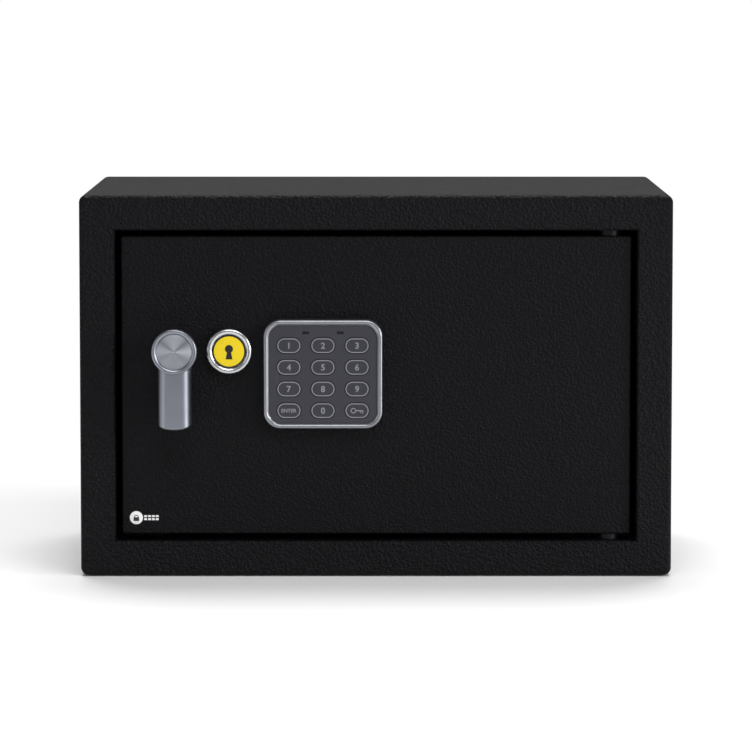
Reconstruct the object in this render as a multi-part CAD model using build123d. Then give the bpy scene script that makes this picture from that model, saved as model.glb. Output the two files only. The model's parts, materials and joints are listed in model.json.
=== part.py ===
from build123d import *
import math
import os

# A compact in-room safe: a welded steel cabinet with a recessed, keypad-locked door on concealed hinge pins.
# Millimetres. X runs right, the door faces -Y, Z is up. The origin is the centre of the cabinet's base.
# The model is at rest with the door closed, the bolts drawn back and the lever hanging down.

# Cabinet
cabinet_width = 310.0
cabinet_height = 200.0
cabinet_depth = 200.0
sheet = 2.0                      # cabinet sheet steel
cabinet_corner = 4.0             # radius of the cabinet's long edges
cabinet_edge = 2.6               # rounding round the front and back faces
pan_flange = 6.0                 # depth of the front and back pressings' outer flange
frame_width = 18.5               # width of the front frame round the opening
frame_lip = 18.0                 # depth of the lip that returns round the opening
lip_edge = 1.6                   # rounding of the opening's front edge
anchor_hole_r = 5.0              # wall and floor anchor holes
anchor_spacing = 180.0           # between the two floor holes, and between the two back holes
floor_anchor_y = 12.0
back_anchor_from_top = 70.0

# Floor mat
mat_thickness = 3.0
mat_gap = 2.5                    # from the cabinet's walls, clear of their corner radius
mat_front_gap = 12.0             # from the back of the front frame's lip
mat_hole_r = 12.0                # punched round each floor anchor, larger than the anchor's washer

# Door
door_gap = 3.0                   # between the door and the opening
door_recess = 4.0                # door face behind the cabinet's front face
door_thickness = 4.0
door_edge = 1.2
door_corner = 1.5
mark_thickness = 0.15
mark_disc_r = 3.45
mark_bar_width = 7.7
mark_bar_height = 3.2
mark_from_left = 7.6             # door edge to the round mark's centre
mark_from_bottom = 8.7
mark_bar_gap = 0.6

# Hinge
hinge_inset = 11.0               # hinge axis from the door's right edge
hinge_pin_r = 3.0
hinge_rail_width = 12.0
hinge_pin_seat = 14.0            # pin length held in the rail
hinge_pin_beyond = 2.0           # pin length beyond its bracket
running_clearance = 0.05         # radial, shafts and bolts in their bores
spacer_r = 5.5
hinge_end_play = 0.3             # between the hinge spacers and the lip
bracket_width = 26.0
bracket_thickness = 3.0

# Bolt work
bolt_r = 8.0
bolt_length = 40.0
bolt_tip = 1.5                   # drawn-back bolt tip from the door's left edge
bolt_tip_chamfer = 1.5
bolt_from_bottom = 32.5          # lower bolt's axis from the door's bottom edge
bolt_from_top = 30.5
bolt_behind_lip = 1.0            # between the bolts and the back edge of the lip
bolt_flat_length = 14.0
bolt_flat_depth = 0.5            # milled off where the slide plate seats
plate_thickness = 2.5
plate_margin = 4.7               # slide plate beside the crank's slot
plate_end = 8.0                  # slide plate beyond each bolt's axis
screw_r = 2.0
screw_head_r = 4.0
screw_head_height = 2.2
screw_grip = 5.0                 # screw length in the bolt
guide_thickness = 2.5
guide_foot_thickness = 2.0
guide_foot_width = 9.5
guide_beyond = 3.0               # guide behind the bolts
guide_end = 14.0                 # guide beyond each bolt's axis
guide_from_edge = 5.5            # guide's left face from the door's left edge
stud_r = 2.5
stud_spacer_r = 4.6
stud_head_r = 4.6
stud_head_height = 2.0
slide_clearance = 0.25           # slide plate between its spacers and heads, and studs in their slots
lower_stud_left = 9.2            # lower stud's axis left of the lock's axis
upper_stud_left = 21.2
lower_wing_gap = 3.3             # between the lock cylinder and the slide plate's lower wing
upper_wing_gap = 1.5
wing_half_height = 7.0
upper_wing_half_height = 4.7
wing_end = 5.0                   # wing beyond its slot

# Handle
handle_from_left = 28.7          # handle's axis from the door's left edge
handle_above_middle = 19.5
handle_reach = 24.0              # head's face from the door's face
head_r = 11.75
head_thickness = 4.0
head_edge = 0.9
disc_r = 9.3
disc_thickness = 0.8
disc_sunk = 0.3
disc_groove = 0.25
neck_cone = 3.2                  # length of the cone between the head and its neck
neck_gap = 0.6                   # between the neck and the door
lever_width = 17.1
lever_flat = 7.5                 # width of the flat along the lever's front
lever_length = 41.1              # from the axis to the lever's end
lever_end_bulge = 1.6            # rise of the lever's rounded end
lever_thickness = 10.0
lever_sunk = 1.4                 # lever's face behind the head's face
lever_end_bevel = 1.1
spindle_r = 5.0
spindle_seat = 10.0              # spindle length held in the handle
bush_r = 8.0
bush_flange_r = 10.5
bush_flange_thickness = 1.4
crank_r = 10.0                   # spindle axis to crank pin
crank_swing = 90.0               # degrees that the handle turns
crank_thickness = 3.5
crank_hub_r = 8.5
crank_boss_r = 4.8
crank_pin_r = 2.5
crank_pin_play = 0.55            # between the crank pin and its slot, each side
crank_gap = 0.6                  # between the bush and the crank
crank_pin_beyond = 1.5           # crank pin behind the slide plate
clip_r = 7.0
clip_thickness = 1.2
clip_groove_depth = 0.5
spindle_end = 1.2                # spindle beyond its clip

# Key lock and its cover
lock_gap = 4.35                  # between the handle's head and the lock's cover
lock_below_handle = 1.2
cylinder_r = 9.0
cylinder_flange = 1.35           # flange beyond the lock's body
cylinder_flange_thickness = 2.4
cylinder_length = 24.0           # behind the door's face
plug_r = 6.0
plug_sunk = 0.3
keyway_width = 1.6
keyway_height = 7.0
keyway_depth = 16.0
lock_nut_wall = 2.5              # from the lock's body to the nut's flats
lock_nut_thickness = 3.5
cam_tail = 5.0                   # square tail of the plug
cam_neck = 0.75                  # plug's neck radius as a share of its tail
cam_width = 8.0
cam_tab_gap = 0.5                # between the turned cam and the drawn-in plunger's tab
cam_thickness = 2.0
cam_screw_r = 3.2
cam_screw_height = 1.8
cam_screw_slot = 1.0
cam_washer_rim = 1.2
cam_washer_thickness = 0.6
cap_wall = 1.55                  # cover beyond the lock's flange
cap_height = 5.6
cap_edge = 1.4
cap_rim = 3.1                    # width of the cover's metal rim
cap_disc_thickness = 0.9
cap_disc_sunk = 0.35
cap_groove = 0.3
cap_web = 1.6                    # metal between the cap's disc and the lock
cap_gap = 0.3                    # between the cover's rim and the door

# Keypad
keypad_gap = 6.1                 # between the lock's cover and the keypad
keypad_below_handle = 13.1
keypad_width = 62.2
keypad_height = 57.1
keypad_corner = 9.0
keypad_proud = 7.0
keypad_rim = 2.8
keypad_rim_edge = 1.2
keypad_back = 1.0
fascia_sunk = 0.5
fascia_thickness = 1.4
fascia_gap = 0.1
key_width = 12.4
key_height = 8.0
key_pitch_x = 17.8
key_pitch_z = 11.37
key_top_z = 15.1                 # top row's axis above the keypad's centre
key_gap = 0.3
key_proud = 0.45
key_edge = 0.3
key_depth = 3.0
key_flange = 0.4                 # flange that keeps each key behind the face plate
key_flange_thickness = 0.9
key_travel = 0.8
led_width = 3.5
led_height = 1.5
led_pitch = 18.1
led_z = 21.8                     # above the keypad's centre
pad_board_thickness = 1.4
key_clearance = 0.35             # between a pressed key and the contact board
boss_r = 2.3
boss_inset = 4.6                 # boss axis from the keypad's sides
pad_screw_r = 1.25
pad_screw_head_r = 2.7
pad_screw_head_height = 1.8
pad_screw_grip = 2.6
pad_wire_hole_r = 5.0

# Solenoid
solenoid_from_lock = 0.8         # plunger's axis right of the lock's axis
solenoid_below_tip = 37.5        # yoke's base below the drawn-in plunger's tip
solenoid_width = 22.0
solenoid_height = 28.0
solenoid_plate = 2.0
coil_r = 8.5
coil_cheek = 1.2                 # bobbin's end flanges
coil_winding_depth = 1.0         # winding inside the flanges' edge
plunger_r = 3.5
plunger_travel = 4.0
plunger_bevel = 3.0
plunger_tip_gap = 0.5            # between the drawn-in plunger and the slide plate's lug
plunger_bore_clearance = 0.08
collar_r = 5.2
collar_thickness = 1.5
tab_width = 3.0
tab_height = 2.0
spring_wire_r = 0.35
spring_turns = 4
lug_width = 5.0
lug_height = 4.0
lug_gap = 0.6                    # between the lug and the plunger, thrown or drawn back

# Inner cover, control board and battery box
cover_wall = 1.5
cover_beyond_guide = 6.0         # cover's back behind the bolt guide
cover_beyond_keypad = 1.6        # cover's right wall past the keypad's right side
cover_from_bottom = 12.5         # from the door's bottom edge
cover_from_top = 10.5
cover_gap = 1.0                  # between the bolt guide and the cover
cover_foot_gap = 0.2             # over the guide's foot
cover_corner = 3.0
cover_bolt_gap = 0.9             # round each bolt
post_r = 3.0
post_inset_x = 10.0
post_inset_z = 5.5
cover_screw_head_r = 3.6
cover_screw_head_height = 1.8
cover_screw_grip = 6.0
board_left_of_keypad = 0.3       # between their middles
board_below_keypad = 38.4
board_width = 52.0
board_height = 50.0
board_thickness = 1.6
board_standoff = 14.0            # door's back to the board
standoff_r = 2.5
standoff_inset = 4.0
connector_width = 14.0
connector_depth = 6.0
connector_height = 6.0
connector_inset = 7.0            # connector from the board's edges
chip_width = 14.0
chip_height = 9.0
chip_thickness = 1.8
sounder_from_middle = (18.2, -15.0)  # from the board's middle, X and Z
sounder_r = 5.0
sounder_height = 6.0
reset_r = 3.0
reset_from_board = (16.0, -2.0)  # from the board's middle, X and Z
reset_proud = 1.2
reset_travel = 0.8
reset_gap = 0.3
reset_collar_r = 4.2
reset_switch = 7.0               # square switch body on the board
battery_box_gap = 13.0           # between the inner cover and the battery tray
battery_box_below_middle = 34.0  # tray's bottom below the door's middle
battery_r = 7.1
battery_length = 50.0
battery_gap = 1.0                # between cells
battery_count = 4
battery_nub_r = 2.6
battery_nub_height = 1.0
battery_clearance = 0.1          # between the cells and the tray's floor
tray_above_cells = 0.5
box_wall = 1.8
contact_gap = 2.4                # room for a contact at each end of a cell
contact_plate = 0.5
tray_corner = 2.5
saddle_width = 3.0
saddle_height = 2.2
saddle_inset = 6.0
lid_thickness = 1.8
lid_gap = 0.15
thumb_scoop_r = 8.0
thumb_scoop_depth = 1.2
thumb_scoop_width = 14.0
wire_r = 1.1
lead_hole_r = 3.0
lead_behind_door = 12.0          # battery lead's depth through the cover's wall
battery_lead_height = 46.0       # above the tray's bottom

# Sizes that follow
front_y = -cabinet_depth / 2
back_y = cabinet_depth / 2
opening_half = cabinet_width / 2 - frame_width
opening_low = frame_width
opening_high = cabinet_height - frame_width
lip_back_y = front_y + frame_lip
door_half = opening_half - door_gap
door_low = opening_low + door_gap
door_high = opening_high - door_gap
door_front_y = front_y + door_recess
door_back_y = door_front_y + door_thickness
door_mid_z = (door_low + door_high) / 2
bolt_low_z = door_low + bolt_from_bottom
bolt_high_z = door_high - bolt_from_top
back_anchor_z = cabinet_height - back_anchor_from_top
cylinder_flange_r = cylinder_r + cylinder_flange
lock_nut_flats = 2 * (cylinder_r + lock_nut_wall)
plug_neck_r = cam_neck * cam_tail
cap_r = cylinder_flange_r + cap_wall
cap_disc_r = cap_r - cap_rim
handle_x = -door_half + handle_from_left
handle_z = door_mid_z + handle_above_middle
lock_x = handle_x + head_r + lock_gap + cap_r
lock_z = handle_z - lock_below_handle
keypad_x = lock_x + cap_r + keypad_gap + keypad_width / 2
keypad_z = handle_z - keypad_below_handle
hinge_x = door_half - hinge_inset
hinge_y = door_back_y + hinge_pin_r
bolt_y = lip_back_y + bolt_behind_lip + bolt_r
bolt_left_x = -door_half + bolt_tip
bolt_right_x = bolt_left_x + bolt_length
plate_back_y = bolt_y - bolt_r + bolt_flat_depth
plate_front_y = plate_back_y - plate_thickness
plate_left_x = bolt_right_x - bolt_flat_length + slide_clearance
throw = 2 * crank_r * math.sin(math.radians(crank_swing / 2))
crank_pin_x = handle_x + crank_r * math.sin(math.radians(crank_swing / 2))
crank_pin_z = handle_z - crank_r * math.cos(math.radians(crank_swing / 2))
crank_slot_r = crank_pin_r + crank_pin_play
plate_right_x = crank_pin_x + crank_slot_r + plate_margin
lower_stud_x = lock_x - lower_stud_left
lower_stud_z = lock_z - cylinder_r - lower_wing_gap - wing_half_height
upper_stud_x = lock_x - upper_stud_left
upper_stud_z = lock_z + cylinder_r + upper_wing_gap + upper_wing_half_height
slot_half = stud_r + slide_clearance
bush_back_y = door_back_y + bush_flange_thickness
crank_front_y = bush_back_y + crank_gap
crank_back_y = crank_front_y + crank_thickness
head_front_y = door_front_y - handle_reach
solenoid_x = lock_x + solenoid_from_lock
lug_left_x = solenoid_x - plunger_r - lug_gap + throw - lug_width
lug_low_z = lower_stud_z - wing_half_height - lug_height
plunger_y = (plate_front_y + plate_back_y) / 2
plunger_tip_z = lug_low_z - plunger_tip_gap
solenoid_base_z = plunger_tip_z - solenoid_below_tip
guide_left_x = -door_half + guide_from_edge
cover_left_x = guide_left_x + guide_thickness + cover_gap
guide_back_y = bolt_y + bolt_r + guide_beyond
cover_right_x = keypad_x + keypad_width / 2 + cover_beyond_keypad
cover_low_z = door_low + cover_from_bottom
cover_high_z = door_high - cover_from_top
cover_back_y = guide_back_y + cover_beyond_guide
board_x = keypad_x - board_left_of_keypad
board_z = keypad_z - board_below_keypad
reset_x = board_x + reset_from_board[0]
reset_z = board_z + reset_from_board[1]
keypad_front_y = door_front_y - keypad_proud
fascia_front_y = keypad_front_y + fascia_sunk
keypad_floor_y = door_front_y - keypad_back
pad_board_front_y = fascia_front_y - key_proud + key_depth + key_travel + key_clearance
board_front_y = door_back_y + board_standoff
battery_pitch = 2 * battery_r + battery_gap
battery_box_x = cover_right_x + battery_box_gap
battery_box_low_z = door_mid_z - battery_box_below_middle
battery_y = door_back_y + box_wall + battery_r + battery_clearance
tray_rim_y = battery_y + battery_r + tray_above_cells
lead_y = door_back_y + lead_behind_door
battery_lead_z = battery_box_low_z + battery_lead_height
mat_front_y = lip_back_y + mat_front_gap


def slab(sketch, y_front, y_back):
    """Solid of a sketch drawn in X and Z, between two depths."""
    plane = Plane.XZ.offset(-y_front)
    return extrude(plane * sketch, amount=y_front - y_back)


def box(x_low, x_high, y_low, y_high, z_low, z_high):
    """Box between two corners."""
    size = (x_high - x_low, y_high - y_low, z_high - z_low)
    middle = ((x_low + x_high) / 2, (y_low + y_high) / 2, (z_low + z_high) / 2)
    return Pos(*middle) * Box(*size)


def rod_y(x, z, radius, y_front, y_back):
    """Round bar along Y."""
    return slab(Pos(x, z) * Circle(radius), y_front, y_back)


def rod_z(x, y, radius, z_low, z_high):
    """Round bar along Z."""
    return Pos(x, y, (z_low + z_high) / 2) * Cylinder(radius, z_high - z_low)


def rod_x(y, z, radius, x_low, x_high):
    """Round bar along X."""
    return Pos((x_low + x_high) / 2, y, z) * Rot(0, 90, 0) * Cylinder(radius, x_high - x_low)


def cabinet_outline(inset=0.0):
    """The cabinet's outline seen from the front, drawn in by an inset."""
    radius = max(cabinet_corner - inset, cabinet_corner / 4)
    outline = RectangleRounded(cabinet_width - 2 * inset, cabinet_height - 2 * inset, radius)
    return Pos(0, cabinet_height / 2) * outline


def at_depth(shape, y):
    """The edges of a shape that lie wholly at one depth."""
    return shape.edges().filter_by_position(Axis.Y, y - 1e-3, y + 1e-3)


def pan(y_face, inward):
    """Pressed steel face with an outer flange; inward is +1 for the front and -1 for the back."""
    low, high = sorted((y_face, y_face + inward * pan_flange))
    block = slab(cabinet_outline(), low, high)
    block = fillet(at_depth(block, y_face), cabinet_edge)
    hollow_low, hollow_high = sorted((y_face + inward * sheet, y_face + inward * pan_flange))
    return block - slab(cabinet_outline(sheet), hollow_low, hollow_high)


def cabinet_shell():
    """Wrapped walls of the cabinet, with the floor anchor holes."""
    low = front_y + pan_flange
    high = back_y - pan_flange
    walls = slab(cabinet_outline(), low, high) - slab(cabinet_outline(sheet), low, high)
    for side in (-1, 1):
        walls -= rod_z(side * anchor_spacing / 2, floor_anchor_y, anchor_hole_r, -sheet, 2 * sheet)
    return walls


def opening(grow=0.0):
    """The door opening seen from the front."""
    outline = Rectangle(2 * (opening_half + grow), opening_high - opening_low + 2 * grow)
    return Pos(0, cabinet_height / 2) * outline


def front_frame():
    """Front pressing round the door, with the lip that returns into the cabinet."""
    frame = pan(front_y, 1)
    frame += slab(opening(sheet), front_y + sheet, lip_back_y)
    frame -= slab(opening(), front_y - sheet, lip_back_y + sheet)
    inner = [
        edge
        for edge in at_depth(frame, front_y)
        if abs(edge.center().X) <= opening_half + 1e-3
        and opening_low - 1e-3 <= edge.center().Z <= opening_high + 1e-3
    ]
    frame = fillet(inner, lip_edge)
    bore = hinge_pin_r + running_clearance
    frame -= rod_z(hinge_x, hinge_y, bore, opening_low - 2 * sheet, opening_low + sheet)
    frame -= rod_z(hinge_x, hinge_y, bore, opening_high - sheet, opening_high + 2 * sheet)
    return frame


def back_panel():
    """Back pressing with two wall anchor holes."""
    panel = pan(back_y, -1)
    for side in (-1, 1):
        x = side * anchor_spacing / 2
        panel -= rod_y(x, back_anchor_z, anchor_hole_r, back_y - 2 * sheet, back_y + sheet)
    return panel


def floor_mat():
    """Loose mat on the cabinet floor, punched clear of the floor anchors."""
    side = cabinet_width / 2 - sheet - mat_gap
    rear = back_y - sheet - mat_gap
    mat = box(-side, side, mat_front_y, rear, sheet, sheet + mat_thickness)
    mat = fillet(mat.edges().filter_by(Axis.Z), cabinet_corner)
    for end in (-1, 1):
        mat -= rod_z(end * anchor_spacing / 2, floor_anchor_y, mat_hole_r, 0, 3 * mat_thickness)
    return mat


def hinge_brackets():
    """Bearing plates welded to the outside of the lip, one over each hinge pin."""
    plates = []
    for lip_z, outward in ((opening_high + sheet, 1), (opening_low - sheet, -1)):
        low, high = sorted((lip_z, lip_z + outward * bracket_thickness))
        plate = box(
            hinge_x - bracket_width / 2,
            hinge_x + bracket_width / 2,
            front_y + sheet,
            lip_back_y,
            low,
            high,
        )
        plate -= rod_z(hinge_x, hinge_y, hinge_pin_r + running_clearance, low - 1, high + 1)
        plates.append(plate)
    return Compound(plates)


def door_plate():
    """Thick steel door plate, drilled for the bush, the lock, the keypad's wires and its screws."""
    outline = RectangleRounded(2 * door_half, door_high - door_low, door_corner)
    plate = slab(Pos(0, door_mid_z) * outline, door_front_y, door_back_y)
    plate = fillet(at_depth(plate, door_front_y), door_edge)
    plate -= rod_y(handle_x, handle_z, bush_r, door_front_y - 1, door_back_y + 1)
    plate -= rod_y(lock_x, lock_z, cylinder_r, door_front_y - 1, door_back_y + 1)
    plate -= rod_y(keypad_x, keypad_z, pad_wire_hole_r, door_front_y - 1, door_back_y + 1)
    for x, z in keypad_bosses():
        plate -= rod_y(x, z, pad_screw_r, door_front_y - 1, door_back_y + 1)
    return plate


def door_mark():
    """Thin printed badge: a round mark and a short bar."""
    x = -door_half + mark_from_left
    z = door_low + mark_from_bottom
    y = door_front_y - mark_thickness
    disc = rod_y(x, z, mark_disc_r, y, door_front_y)
    bar_x = x + mark_disc_r + mark_bar_gap + mark_bar_width / 2
    bar = slab(Pos(bar_x, z) * Rectangle(mark_bar_width, mark_bar_height), y, door_front_y)
    return Compound([disc, bar])


def hinge_rail():
    """Square bar welded behind the door's hinge edge, bored for the pins."""
    half = hinge_rail_width / 2
    rear_y = door_back_y + hinge_rail_width
    rail = box(hinge_x - half, hinge_x + half, door_back_y, rear_y, door_low, door_high)
    rail = fillet(rail.edges().filter_by(Axis.Z).sort_by(Axis.Y)[-2:], 1.0)
    rail -= rod_z(hinge_x, hinge_y, hinge_pin_r, door_low - 1, door_low + hinge_pin_seat)
    rail -= rod_z(hinge_x, hinge_y, hinge_pin_r, door_high - hinge_pin_seat, door_high + 1)
    return rail


def hinge_pins():
    """Pins held in the rail's ends, which turn in the lip and the brackets."""
    reach = sheet + bracket_thickness + hinge_pin_beyond
    lower = rod_z(hinge_x, hinge_y, hinge_pin_r, opening_low - reach, door_low + hinge_pin_seat)
    upper = rod_z(hinge_x, hinge_y, hinge_pin_r, door_high - hinge_pin_seat, opening_high + reach)
    lower = chamfer(lower.edges().sort_by(Axis.Z)[:1], 0.6)
    upper = chamfer(upper.edges().sort_by(Axis.Z)[-1:], 0.6)
    return Compound([lower, upper])


def hinge_spacers():
    """Spacers on the pins, which fill the gap between the door's edges and the lip."""
    spacers = []
    for low, high in (
        (opening_low + hinge_end_play, door_low),
        (door_high, opening_high - hinge_end_play),
    ):
        spacer = rod_z(hinge_x, hinge_y, spacer_r, low, high)
        spacer -= rod_z(hinge_x, hinge_y, hinge_pin_r, low - 1, high + 1)
        spacers.append(spacer)
    return Compound(spacers)


def bolt_axes():
    """Heights of the two bolts."""
    return (bolt_low_z, bolt_high_z)


def bolts():
    """Round locking bolts, chamfered at the tip and milled flat for the slide plate."""
    bars = []
    for z in bolt_axes():
        bar = rod_x(bolt_y, z, bolt_r, bolt_left_x, bolt_right_x)
        bar = chamfer(bar.edges().sort_by(Axis.X)[:1], bolt_tip_chamfer)
        bar -= box(
            bolt_right_x - bolt_flat_length,
            bolt_right_x + 1,
            bolt_y - 2 * bolt_r,
            plate_back_y,
            z - bolt_r,
            z + bolt_r,
        )
        x = bolt_right_x - bolt_flat_length / 2
        bar -= rod_y(x, z, screw_r, plate_back_y - 1, plate_back_y + screw_grip)
        bars.append(bar)
    return Compound(bars)


def stud_slot(x, z):
    """Horizontal slot that lets the slide plate run on a stud at rest in the slot's left end."""
    length = throw + 2 * slot_half
    return Pos(x + throw / 2, z) * SlotOverall(length, 2 * slot_half)


def bolt_plate():
    """Slide plate that joins the bolts, slotted for the crank and studs, with a lug for the plunger."""
    screw_x = bolt_right_x - bolt_flat_length / 2
    mid_z = (bolt_low_z + bolt_high_z) / 2
    height = bolt_high_z - bolt_low_z + 2 * plate_end
    middle_x = (plate_left_x + plate_right_x) / 2
    outline = Pos(middle_x, mid_z) * RectangleRounded(plate_right_x - plate_left_x, height, 2.0)
    wings = (
        (lower_stud_x, lower_stud_z, wing_half_height, lug_left_x + lug_width + 0.5),
        (upper_stud_x, upper_stud_z, upper_wing_half_height, 0),
    )
    for stud_x, stud_z, half, least_x in wings:
        slot_end = stud_x + throw + slot_half + wing_end
        right_x = max(slot_end, least_x) if least_x else slot_end
        wing = Rectangle(right_x - plate_left_x, 2 * half)
        outline += Pos((plate_left_x + right_x) / 2, stud_z) * wing
    lug = Rectangle(lug_width, lug_height + 1)
    outline += Pos(lug_left_x + lug_width / 2, lug_low_z + (lug_height + 1) / 2) * lug
    drop = crank_r - (handle_z - crank_pin_z)
    crank_slot = SlotOverall(drop + 2 * crank_slot_r + 2, 2 * crank_slot_r, rotation=90)
    outline -= Pos(crank_pin_x, crank_pin_z - drop / 2) * crank_slot
    outline -= stud_slot(lower_stud_x, lower_stud_z)
    outline -= stud_slot(upper_stud_x, upper_stud_z)
    plate = slab(outline, plate_front_y, plate_back_y)
    for z in bolt_axes():
        plate -= rod_y(screw_x, z, screw_r, plate_front_y - 1, plate_back_y + 1)
    return plate


def pan_screw(x, z, radius, head_r, head_height, y_head, y_tip):
    """Pan head screw along Y with a cross recess; the head's seat is at y_head."""
    side = 1 if y_tip > y_head else -1
    shank = rod_y(x, z, radius, *sorted((y_head, y_tip)))
    crown = y_head - side * head_height
    head = rod_y(x, z, head_r, *sorted((y_head, crown)))
    head = fillet(at_depth(head, crown), 0.45 * head_height)
    slot_depth = 0.5 * head_height
    slot_width = 0.3 * head_r
    low, high = sorted((crown - side, crown + side * slot_depth))
    reach = 0.62 * head_r
    head -= box(x - reach, x + reach, low, high, z - slot_width / 2, z + slot_width / 2)
    head -= box(x - slot_width / 2, x + slot_width / 2, low, high, z - reach, z + reach)
    return shank + head


def bolt_screws():
    """Screws that hold the slide plate to the bolts."""
    x = bolt_right_x - bolt_flat_length / 2
    tip = plate_back_y + screw_grip
    screws = [
        pan_screw(x, z, screw_r, screw_head_r, screw_head_height, plate_front_y, tip)
        for z in bolt_axes()
    ]
    return Compound(screws)


def bolt_guide():
    """Angle welded behind the door's opening edge, which the bolts slide through."""
    low = bolt_low_z - guide_end
    high = bolt_high_z + guide_end
    right = guide_left_x + guide_thickness
    web = box(guide_left_x, right, door_back_y, guide_back_y, low, high)
    foot_y = door_back_y + guide_foot_thickness
    guide = web + box(guide_left_x, guide_left_x + guide_foot_width, door_back_y, foot_y, low, high)
    for z in bolt_axes():
        guide -= rod_x(bolt_y, z, bolt_r + running_clearance, guide_left_x - 1, right + 1)
    return guide


def guide_studs():
    """Shouldered studs, riveted over, that the slide plate runs on."""
    studs = []
    for x, z in ((lower_stud_x, lower_stud_z), (upper_stud_x, upper_stud_z)):
        shoulder_y = plate_front_y - slide_clearance
        head_y = plate_back_y + slide_clearance
        stud = rod_y(x, z, stud_spacer_r, door_back_y, shoulder_y)
        stud += rod_y(x, z, stud_r, shoulder_y, head_y)
        head = rod_y(x, z, stud_head_r, head_y, head_y + stud_head_height)
        stud += fillet(at_depth(head, head_y + stud_head_height), 0.8)
        studs.append(stud)
    return Compound(studs)


def handle_lever():
    """Cast handle: a round head on a neck, with a lever that hangs from it."""
    recess_y = head_front_y + disc_sunk + disc_thickness
    head_back_y = head_front_y + head_thickness
    cone_back_y = head_back_y + neck_cone
    neck_r = lever_width / 2
    neck_back_y = door_front_y - neck_gap
    profile = Polyline(
        (0, -head_front_y),
        (head_r, -head_front_y),
        (head_r, -head_back_y),
        (neck_r, -cone_back_y),
        (neck_r, -neck_back_y),
        (0, -neck_back_y),
        close=True,
    )
    body = revolve(make_face(profile), Axis.Y)
    body = Rot(180, 0, 0) * body
    body = fillet(at_depth(body, head_front_y), head_edge)
    lever_front_y = head_front_y + lever_sunk
    lever_back_y = lever_front_y + lever_thickness
    half = lever_width / 2
    flat = lever_flat / 2
    flank = half - flat
    section = make_face(
        [
            Line((-flat, lever_front_y), (flat, lever_front_y)),
            RadiusArc((flat, lever_front_y), (half, lever_front_y + flank), -flank),
            Line((half, lever_front_y + flank), (half, lever_back_y - 1.5)),
            Line((half, lever_back_y - 1.5), (half - 1.5, lever_back_y)),
            Line((half - 1.5, lever_back_y), (-half + 1.5, lever_back_y)),
            Line((-half + 1.5, lever_back_y), (-half, lever_back_y - 1.5)),
            Line((-half, lever_back_y - 1.5), (-half, lever_front_y + flank)),
            RadiusArc((-half, lever_front_y + flank), (-flat, lever_front_y), -flank),
        ]
    )
    lever = extrude(Plane.XY.offset(-lever_length) * section, amount=lever_length)
    bulge_r = (half**2 + lever_end_bulge**2) / (2 * lever_end_bulge)
    lever = lever & rod_y(0, bulge_r - lever_length, bulge_r, lever_front_y - 1, lever_back_y + 1)
    rim = [edge for edge in lever.edges() if edge.center().Z < lever_end_bulge - lever_length + 0.2]
    lever = chamfer(rim, lever_end_bevel)
    handle = body + lever
    handle -= rod_y(0, 0, disc_r + disc_groove, head_front_y - 1, recess_y)
    handle -= rod_y(0, 0, spindle_r, neck_back_y - spindle_seat, neck_back_y + 1)
    return Pos(handle_x, 0, handle_z) * handle


def handle_disc():
    """Turned disc set into the handle's head, dimpled at its centre."""
    front = head_front_y + disc_sunk
    disc = rod_y(handle_x, handle_z, disc_r, front, front + disc_thickness)
    disc = chamfer(at_depth(disc, front), 0.2)
    return disc - Pos(handle_x, front, handle_z) * Sphere(0.5)


def square_tail(x, z, flats, y_front, y_back):
    """Square bar along Y."""
    return slab(Pos(x, z) * Rectangle(flats, flats), y_front, y_back)


def handle_spindle():
    """Shaft from the handle through the bush to the crank, square in the crank, with a clip groove."""
    front = door_front_y - neck_gap - spindle_seat
    flats = spindle_r * math.sqrt(2)
    shaft = rod_y(handle_x, handle_z, spindle_r, front, crank_front_y)
    shaft += square_tail(handle_x, handle_z, flats, crank_front_y, crank_back_y)
    groove_y = crank_back_y + clip_thickness
    shaft += rod_y(handle_x, handle_z, flats / 2 - clip_groove_depth, crank_back_y, groove_y)
    shaft += rod_y(handle_x, handle_z, flats / 2, groove_y, groove_y + spindle_end)
    return shaft


def handle_bush():
    """Flanged bearing bush pressed into the door from behind."""
    bush = rod_y(handle_x, handle_z, bush_r, door_front_y, door_back_y)
    bush += rod_y(handle_x, handle_z, bush_flange_r, door_back_y, bush_back_y)
    bore = spindle_r + running_clearance
    return bush - rod_y(handle_x, handle_z, bore, door_front_y - 1, bush_back_y + 1)


def crank():
    """Crank on the spindle's square, with the pin that drives the slide plate."""
    flats = spindle_r * math.sqrt(2)
    arm = Pos(handle_x, handle_z) * Circle(crank_hub_r)
    arm += Pos(crank_pin_x, crank_pin_z) * Circle(crank_boss_r)
    web_x = (handle_x + crank_pin_x) / 2
    web_z = (handle_z + crank_pin_z) / 2
    turn = -crank_swing / 2
    arm += Pos(web_x, web_z) * Rectangle(crank_r, 2 * crank_boss_r, rotation=turn)
    body = slab(arm, crank_front_y, crank_back_y)
    body -= square_tail(handle_x, handle_z, flats, crank_front_y - 1, crank_back_y + 1)
    pin = rod_y(crank_pin_x, crank_pin_z, crank_pin_r, crank_back_y, plate_back_y + crank_pin_beyond)
    return body + pin


def spindle_clip():
    """Retaining clip in the spindle's groove, open at one side."""
    flats = spindle_r * math.sqrt(2)
    groove = flats / 2 - clip_groove_depth
    ring = Circle(clip_r) - Circle(groove) - Pos(0, clip_r) * Rectangle(2 * groove * 0.7, 2 * clip_r)
    return slab(Pos(handle_x, handle_z) * ring, crank_back_y, crank_back_y + clip_thickness)


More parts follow.
